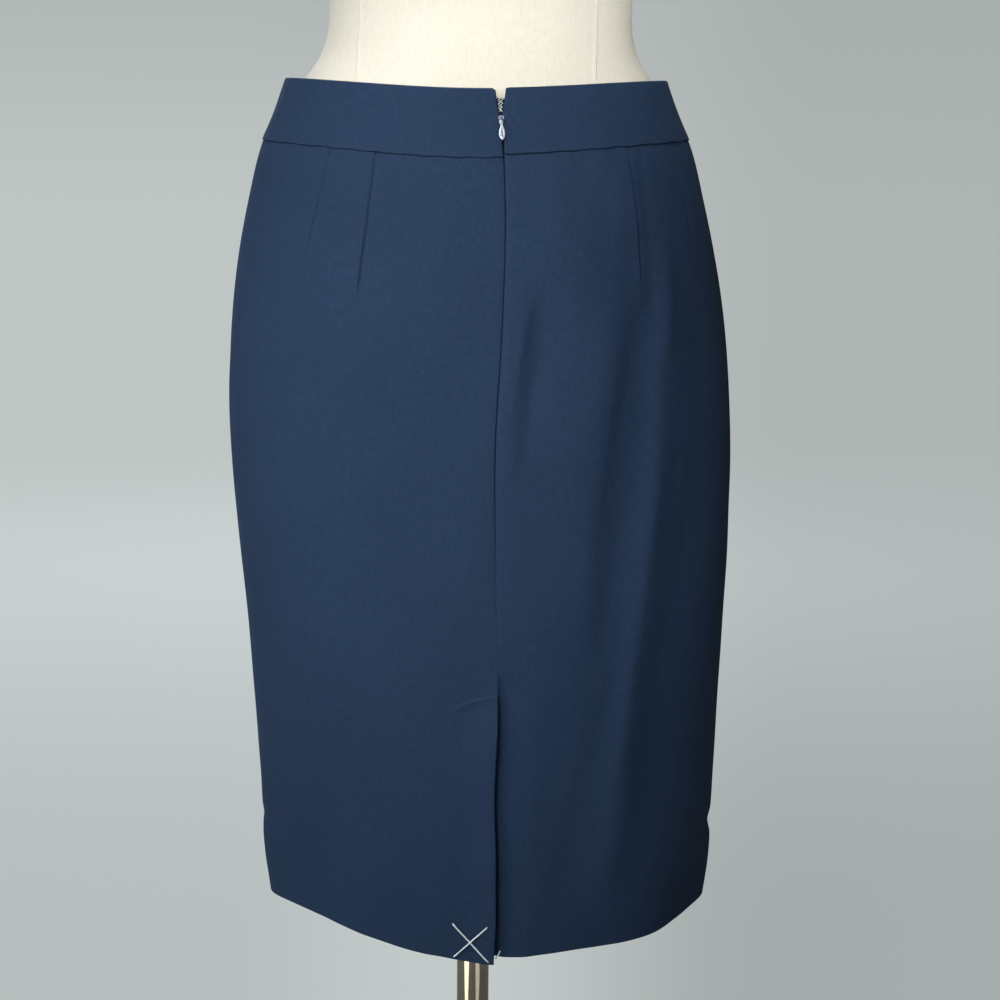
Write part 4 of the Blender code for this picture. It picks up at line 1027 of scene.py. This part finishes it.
def zip_coil():
    """Two open ends of the coil above the slider: a helix along each side of the opening."""
    rings = []
    count = COIL_TURNS * 16
    share = np.linspace(0.0, 1.0, count)
    start = ZIP_OPEN_LEVEL + 0.0022
    for side, phase in ((-1.0, np.pi / 2), (1.0, 0.0)):
        half = side * (0.00042 + 0.00062 * share)
        middle = cloth(np.degrees(half / BAND_BACK_RADIUS), start + (COIL_TOP - start) * share, -0.0006)
        turn = (2 * np.pi * COIL_TURNS * share + phase)[:, None]
        reach = 0.00052 + 0.00028 * share[:, None]
        path = middle + reach * (np.cos(turn) * ZIP_AXES[0] + 0.6 * np.sin(turn) * ZIP_AXES[1])
        rings.append(tube(path, np.tile(ZIP_AXES[2], (count, 1)), round_ends(count, COIL_RADIUS), 8))
    return tube_piece("zip_coil_ends", rings, NYLON)


# ---- threads

TACK_RADIUS = 0.00062
TAIL_RADIUS = 0.00045
STITCH_RADIUS = 0.00017
THREAD_DIVE = 0.0012        # how far a thread's ends go into the cloth


def thread_path(start, end, lift, bow, count):
    """A thread over the cloth between two places; it bows up at its middle and dives in at its ends."""
    share = np.linspace(0.0, 1.0, count)
    angle = start[0] + (end[0] - start[0]) * share
    level = start[1] + (end[1] - start[1]) * share
    height = lift + bow * np.sin(np.pi * share) - THREAD_DIVE * (1.0 - smooth(np.minimum(share, 1.0 - share) / 0.05))
    return lifted(angle, level, cloth_lift(angle, level) + flap_roll(angle, level) + height)


def lifted(angle, level, lift):
    """A path of points at a lift, and the direction out of the cloth at each."""
    points = cloth(angle, level, lift)
    return points, (cloth(angle, level, lift + 0.001) - points) / 0.001


def tack_cross():
    """Two threads crossed over the vent's corner, each of two plies wound round each other."""
    rings = []
    for start, end, lift in (((15.0, 0.0288), (1.75, -0.0006), 0.00045), ((2.9, 0.0284), (14.2, 0.0014), 0.001)):
        path, outward = thread_path(start, end, lift, 0.0004, 90)
        rings.append(tube(path, outward, round_ends(90, TACK_RADIUS), 12, np.linspace(0.0, 26.0 * np.pi, 90)))
    return tube_piece("tack_cross", rings, THREAD)


def tack_tail():
    """The tack's cut end, which comes out beside the flap's corner."""
    share = np.linspace(0.0, 1.0, 30)
    path, outward = lifted(-0.44 - 1.70 * share, 0.0006 + 0.0066 * share, -0.0016 + 0.0018 * np.sin(np.pi * share))
    return tube_piece("tack_tail", [tube(path, outward, round_ends(30, TAIL_RADIUS), 12, share * 9 * np.pi)], THREAD)


def vent_stitches():
    """The slanting row that holds the underlap: short, slightly sunk stitches."""
    rings = []
    for share in np.linspace(0.02, 0.95, 14):
        places = [(angle, stitch_line(angle)) for angle in (UNDERLAP * share, UNDERLAP * (share + 0.046))]
        rings.append(tube(*thread_path(*places, -0.00006, 0.00014, 14), round_ends(14, STITCH_RADIUS), 8))
    return tube_piece("vent_stitches", rings, SELF_THREAD)


# ---- dress form and stand

# The cover's seams, each a line of (level, heading in degrees); the side ones are alike on both sides.
COVER_SEAMS = [
    [(0.212, 32.0), (0.40, 38.0), (0.618, 49.0), (0.64, 53.7), (0.665, 55.2), (0.74, 53.0), (0.90, 47.0),
     (1.05, 46.0)],
    [(0.212, -32.0), (0.40, -38.0), (0.618, -46.3), (0.64, -50.8), (0.665, -52.7), (0.74, -51.0), (0.90, -46.0),
     (1.05, -46.0)],
    [(0.212, 180.0), (1.15, 180.0)],
]
for side in (1.0, -1.0):
    COVER_SEAMS.append([(level, side * heading) for level, heading in (
        (0.212, 148.0), (0.40, 142.0), (0.62, 137.0), (0.90, 140.0), (1.05, 134.0))])
    COVER_SEAMS.append([(0.212, side * 90.0), (1.05, side * 90.0)])
COVER_LEVEL_SEAMS = (1.118, 1.146)
COVER_SEAM_HALF = 0.0011    # half a seam's breadth
COVER_SEAM_LIFT = 0.00075
COVER_COLUMNS = 180
COVER_HELD = 0.004          # how far above the band the cloth still holds the cover in
# Degrees between a seam's line and the close columns beside it.
COVER_SEAM_OFFSETS = np.degrees(np.array([-2.6, -1.7, -1.1, -0.65, -0.3, 0.0, 0.3, 0.65, 1.1, 1.7, 2.6])
                                * 0.001 / VENT_RADIUS)


def cover_lift(heading, level):
    """Raised seams: a bell with a groove in it across each seam's line, and a bell at each level seam."""
    lift = 0.0
    radius = outline_radius(FORM, heading, level)
    for seam in COVER_SEAMS:
        levels, angles = np.array(seam).T
        away = np.radians(round_away(np.degrees(heading), np.interp(level, levels, angles))) * radius
        lift = lift + smooth((levels[-1] - level) / 0.01) * (
            bell(away, COVER_SEAM_HALF) - 0.8 * bell(away, 0.25 * COVER_SEAM_HALF))
    for seam in COVER_LEVEL_SEAMS:
        lift = lift + bell(level - seam, COVER_SEAM_HALF)
    return COVER_SEAM_LIFT * lift * smooth((level - BAND_TOP - 0.001) / COVER_HELD)


def form_points(heading, level):
    """The form's cover: its own rings, held in by the cloth's inner face wherever they would touch it."""
    radius = outline_radius(FORM, heading, level) + cover_lift(heading, level)
    x = column(FORM, "shift", level) + radius * np.sin(heading)
    y = radius * np.cos(heading)
    cloth_level = np.minimum(level, BAND_TOP)
    shift = column(SKIRT, "shift", cloth_level)
    skirt_heading = np.arctan2(x - shift, y)
    room = outline_radius(SKIRT, skirt_heading, cloth_level) - SOLID_WALL - FORM_GAP
    pressed = np.minimum(np.hypot(x - shift, y), room)
    covered = level < BAND_TOP + COVER_HELD
    x = np.where(covered, shift + pressed * np.sin(skirt_heading), x)
    y = np.where(covered, pressed * np.cos(skirt_heading), y)
    z = HEM_HEIGHT + level - column(FORM, "drop", level) * np.cos(heading) ** 2
    return np.stack(np.broadcast_arrays(x, y, z), axis=-1)


def cover_headings(level):
    """Headings of the cover's columns at each level: even steps with close ones at every seam, moved aside
    by a hat function round each seam so that its close columns follow its line."""
    seams = sorted(COVER_SEAMS, key=lambda seam: seam[0][1])
    homes = [-180.0] + [seam[0][1] for seam in seams]
    places = np.linspace(-180.0, 180.0, COVER_COLUMNS + 1)
    for home in homes:
        places = places[np.abs(places - home) > COVER_SEAM_OFFSETS.max() + 0.4]
        places = np.concatenate([places, home + COVER_SEAM_OFFSETS])
    places = np.sort(places[(places >= -180.0) & (places < 179.999)])
    heading = np.tile(places, (len(level), 1))
    for number, seam in enumerate(seams[:-1]):
        levels, angles = np.array(seam).T
        hat = np.interp(places, homes[number:number + 3], (0.0, 1.0, 0.0))
        heading += hat * (np.interp(level, levels, angles) - homes[number + 1])[:, None]
    return heading


def form_cover():
    """The whole padded torso, with columns set close along its seams and closed under it and at the neck."""
    levels = np.concatenate([np.linspace(FORM[0].level, 0.60, 60), np.linspace(0.604, 0.70, 44),
                             np.linspace(0.706, 1.10, 70), np.linspace(1.104, FORM[-1].level, 34)])
    heading = np.radians(cover_headings(levels))
    level = np.broadcast_to(levels[:, None], heading.shape)
    points = form_points(heading, level)
    middle = points.mean(axis=1, keepdims=True)
    shrink = np.array([0.0, 0.25, 0.5, 0.75, 0.92])[:, None, None]
    bottom = middle[:1] + (points[:1] - middle[:1]) * shrink
    top = middle[-1:] + (points[-1:] - middle[-1:]) * shrink[::-1]
    points = np.concatenate([bottom, points, top])
    pattern = np.concatenate([bottom[..., :2], np.stack([heading * MEAN_RADIUS, level], axis=-1), top[..., :2]])
    return make_piece("form", points, grid_faces(len(points), heading.shape[1], closed=True), COVER,
                      slot="form_cover", node="form_body", pattern=pattern, merge=True)


def stand():
    """The neck cap, the collar under the form, the pole and the round base, each turned from a profile."""
    neck_top = HEM_HEIGHT + FORM[-1].level + SEAM_GAP
    neck = FORM[-1].half_width
    rise = np.linspace(np.pi / 2, 0.0, 14)[1:]
    crown = [(neck * 1.02 * math.cos(a), neck_top + NECK_CAP_HEIGHT * (0.25 + 0.75 * math.sin(a) ** 0.9)) for a in rise]
    lathe("cap", "neck_cap", [(0.0, neck_top + NECK_CAP_HEIGHT), *crown, (neck * 1.02, neck_top + 0.001),
                              (neck, neck_top), (0.0, neck_top)], CAP_WOOD, "cap_wood")
    under = HEM_HEIGHT + FORM[0].level - SEAM_GAP
    foot = under - COLLAR_HEIGHT
    inside = POLE_RADIUS + SEAM_GAP
    lathe("under_collar", "collar", rounded([
        (inside, under - 0.001), (inside, under), (0.034, under), (0.034, under - 0.005), (0.021, under - 0.008),
        (0.019, foot + 0.001), (0.018, foot), (inside, foot), (inside, under - 0.001)], 0.0008),
        BASE_METAL, "base_metal")
    bottom = SOCKET_FLOOR + SEAM_GAP
    lathe("pole_tube", "pole", rounded([(0.0, bottom), (POLE_RADIUS, bottom), (POLE_RADIUS, under), (0.0, under)],
                                       0.0006), POLE_NICKEL, "pole_nickel")
    lathe("round_base", "base", rounded([
        (0.0, SOCKET_FLOOR), (inside, SOCKET_FLOOR), (inside, SOCKET_TOP), (0.0195, SOCKET_TOP),
        (0.022, SOCKET_TOP - 0.003), (0.024, 0.024), (0.034, 0.019), (0.09, 0.015), (0.15, 0.012),
        (BASE_RADIUS - 0.004, BASE_RIM + 0.0005), (BASE_RADIUS, BASE_RIM - 0.003), (BASE_RADIUS, 0.0015),
        (BASE_RADIUS - 0.0015, 0.0), (0.0, 0.0)], 0.0022), BASE_METAL, "base_metal", sides=192)


# ---- build

SIDE_TURNING = (0.006, 0.570, -0.0018, 0.0005, SUITING)
TAPE_LIFT = -0.0018
TAPE_THICK = 0.0005
TAPE_EDGE = 4.6             # degrees

front = skirt_front()
back_left = skirt_back_left()
back_right = skirt_back_right()
band_front = band_piece("band_front", "waistband_front", 90.0, 270.0, (LEFT_WAIST_OFFSET, RIGHT_WAIST_OFFSET))
band_left = band_piece("band_back_left", "waistband_back_left", 0.0, 90.0, (LEFT_WAIST_OFFSET,) * 2, 1.0, 0.0013)
band_right = band_piece("band_back_right", "waistband_back_right", -90.0, 0.0, (RIGHT_WAIST_OFFSET,) * 2, -1.0, 0.0004)

left_allowance = strip("left_seam_allowance", 85.6, 94.4, *SIDE_TURNING)
right_allowance = strip("right_seam_allowance", -94.4, -85.6, *SIDE_TURNING)
zip_tape = strip("zip_tape_and_seam", -TAPE_EDGE, TAPE_EDGE, VENT_TOP + TUCK_RISE + 0.004, ZIP_OPEN_LEVEL - 0.001,
                 TAPE_LIFT, TAPE_THICK, TAPE)
tape_ends = [strip("zip_tape_end_" + side, *ends, ZIP_OPEN_LEVEL - 0.0005, TAPE_TOP, TAPE_LIFT, TAPE_THICK, TAPE)
             for side, ends in (("left", (0.02, TAPE_EDGE)), ("right", (-TAPE_EDGE, -0.02)))]
waist_allowance = strip("waist_seam_allowance", 0.5, 359.5, WAIST_SEAM - 0.0045, WAIST_SEAM + 0.0045, -0.0011,
                        0.0006, SUITING)
zip_slider()
pull_tab()
coil = zip_coil()
tack = tack_cross()
tail = tack_tail()
stitches = vent_stitches()
form = form_cover()
stand()

# ---- studio

PAPER_FLAT = 4.2
PAPER_COVE = 1.6
PAPER_TOP = 4.5
PAPER_NEAR = 1.3
PAPER_DEPTH = 1.9
# The paper's glow on its right, in its middle and on its left: painted light, brightest on the left, where the lamps
# stand.
PAPER_RIGHT = 0.440
PAPER_MIDDLE = 0.520
PAPER_LEFT = 0.545
PAPER_LIGHT = 0.30          # how much of its glow the paper throws on what stands before it


def studio_paper():
    """Pale paper whose glow is painted light, more on the left and behind the middle, by its bearing from near the
    camera and its height; its base colour is darker behind, where the glow is full, and its glow on other things is
    weaker than the one seen."""
    material, nodes, shader = new_material("studio_paper", Roughness=0.9, Specular_IOR_Level=0.1, Emission_Strength=1.0)
    x, y, z = nodes.add("SeparateXYZ", {0: nodes.add("TexCoord", out="Object")}).node.outputs
    behind = nodes.eased(y, 0.9, -0.6, 0.0, 1.0)
    base = nodes.ramp(behind, (0.0, (0.300, 0.320, 0.320)), (1.0, (0.120, 0.130, 0.130)))
    depth = nodes.math("MAXIMUM", nodes.math("SUBTRACT", PAPER_NEAR, y), PAPER_DEPTH)
    bearing = nodes.math("DIVIDE", x, depth)
    side = nodes.math("ADD", nodes.eased(bearing, -0.19, -0.02, PAPER_RIGHT, PAPER_MIDDLE),
                      nodes.eased(bearing, -0.02, 0.14, 0.0, PAPER_LEFT - PAPER_MIDDLE))
    # Painted shade in the glow: less of it higher up, most on the left, and on the floor nearer the stand.
    high = nodes.math("MULTIPLY", nodes.eased(bearing, -0.12, 0.12, 0.48, 1.0), nodes.eased(z, 0.55, 1.60, 0.0, 0.16))
    shade = nodes.math("SUBTRACT", 1.0, nodes.math("ADD", nodes.eased(y, -2.9, -0.8, 0.0, 0.20), high))
    # Painted light: a pool of extra glow on the paper behind the middle.
    centre = nodes.math("MULTIPLY", nodes.eased(nodes.math("ABSOLUTE", bearing), 0.0, 0.15, 0.10, 0.0),
                        nodes.eased(y, -1.8, -0.7, 0.0, 1.0))
    glow = nodes.math("ADD", nodes.math("MULTIPLY", side, shade), centre)
    seen = nodes.add("LightPath", out="Is Camera Ray")
    thrown = nodes.math("MULTIPLY", glow, nodes.math("MAXIMUM", seen, PAPER_LIGHT))
    glow = nodes.math("MULTIPLY", thrown, nodes.math("MAXIMUM", behind, nodes.math("MULTIPLY_ADD", seen, 0.60, 0.10)))
    nodes.feed(shader, {"Base Color": base, "Emission Color": nodes.ramp(
        glow, (0.0, (0.0, 0.0, 0.0)), (1.0, (0.925, 1.0, 0.985)))})
    return material


def studio():
    """A pale floor that curves up into a round wall: a profile turned about Z."""
    turn = np.linspace(0.0, np.pi / 2, 24)
    cove = np.stack([PAPER_FLAT + PAPER_COVE * np.sin(turn), PAPER_COVE * (1.0 - np.cos(turn))], axis=-1)
    points, faces = revolved(np.concatenate([
        [(0.0, 0.0)], np.stack([np.linspace(0.4, PAPER_FLAT, 12), np.zeros(12)], axis=-1), cove[1:],
        [(PAPER_FLAT + PAPER_COVE, PAPER_TOP)]]), 128)
    mesh = bpy.data.meshes.new("studio_floor")
    mesh.from_pydata(points.reshape(-1, 3).tolist(), [], faces.reshape(-1, 4).tolist())
    put_object("studio_floor", mesh, studio_paper())


def area_light(name, place, target, size, power, colour, diffuse=1.0, spread_out=180.0):
    """A soft square light aimed at a point; with no diffuse part it shows only in polished metal."""
    light = bpy.data.lights.new(name, "AREA")
    light.shape = "RECTANGLE"
    light.size = light.size_y = size
    light.energy = power
    light.color = colour
    light.diffuse_factor = diffuse
    light.spread = math.radians(spread_out)
    obj = bpy.data.objects.new(name, light)
    x, y, z = np.array(target) - np.array(place)
    obj.rotation_euler = (math.atan2(math.hypot(x, y), -z), 0.0, math.atan2(x, -y) + math.pi)
    obj.location = place
    obj.visible_camera = False
    bpy.context.scene.collection.objects.link(obj)


WARM = (1.0, 0.985, 0.95)

studio()
area_light("key", (0.513, 1.51, 2.20), (0.0, 0.10, 0.95), 0.40, 22.0, WARM)
area_light("left_window", (1.472, 0.95, 1.25), (0.0, 0.10, 0.88), 0.6, 11.5, (0.97, 0.99, 1.0))
area_light("middle_spot", (0.243, 1.479, 1.20), (0.0, 0.10, 0.80), 0.4, 0.57, WARM, 1.0, 36.0)
area_light("neck_fill", (-0.90, 1.00, 1.75), (-0.06, 0.0, 1.25), 0.2, 0.56, (1.0, 0.98, 0.95), 1.0, 24.0)
area_light("front_fill", (0.5, -3.2, 2.3), (0.0, 0.0, 0.8), 1.8, 60.0, (0.78, 0.92, 1.0))
area_light("left_shine", (0.52, 0.50, 0.03), (0.52, 0.50, 1.0), 0.36, 0.95, WARM, 0.0)
area_light("right_shine", (-0.38, 0.58, 0.03), (-0.38, 0.58, 1.0), 0.30, 0.24, (0.84, 0.95, 1.0), 0.0)

world = bpy.data.worlds.new("studio_air")
world.use_nodes = True
world.node_tree.nodes["Background"].inputs["Color"].default_value = (0.58, 0.80, 1.0, 1.0)
world.node_tree.nodes["Background"].inputs["Strength"].default_value = 0.045
bpy.context.scene.world = world
bpy.context.scene.view_settings.view_transform = "Standard"

# ---- camera

EYE = (0.0, 1.338, HEM_HEIGHT + 0.584)
PITCH = math.radians(11.62)
YAW = math.radians(0.78)
ROLL = math.radians(0.51)
LENS = 65.56


def camera():
    """A camera behind the skirt that looks a little down: its axes from pitch, yaw and roll."""
    ahead = np.array([-math.sin(YAW) * math.cos(PITCH), -math.cos(YAW) * math.cos(PITCH), -math.sin(PITCH)])
    level = np.array([-math.cos(YAW), math.sin(YAW), 0.0])
    upright = np.cross(level, ahead)
    data = bpy.data.cameras.new("camera")
    data.sensor_width = 36.0
    data.lens = LENS
    data.clip_start = 0.05
    data.clip_end = 50.0
    obj = bpy.data.objects.new("camera", data)
    axes = np.eye(4)
    axes[:3, 0] = math.cos(ROLL) * level + math.sin(ROLL) * upright
    axes[:3, 1] = -math.sin(ROLL) * level + math.cos(ROLL) * upright
    axes[:3, 2] = -ahead
    axes[:3, 3] = EYE
    obj.matrix_world = Matrix(axes.tolist())
    bpy.context.scene.collection.objects.link(obj)
    bpy.context.scene.camera = obj


camera()
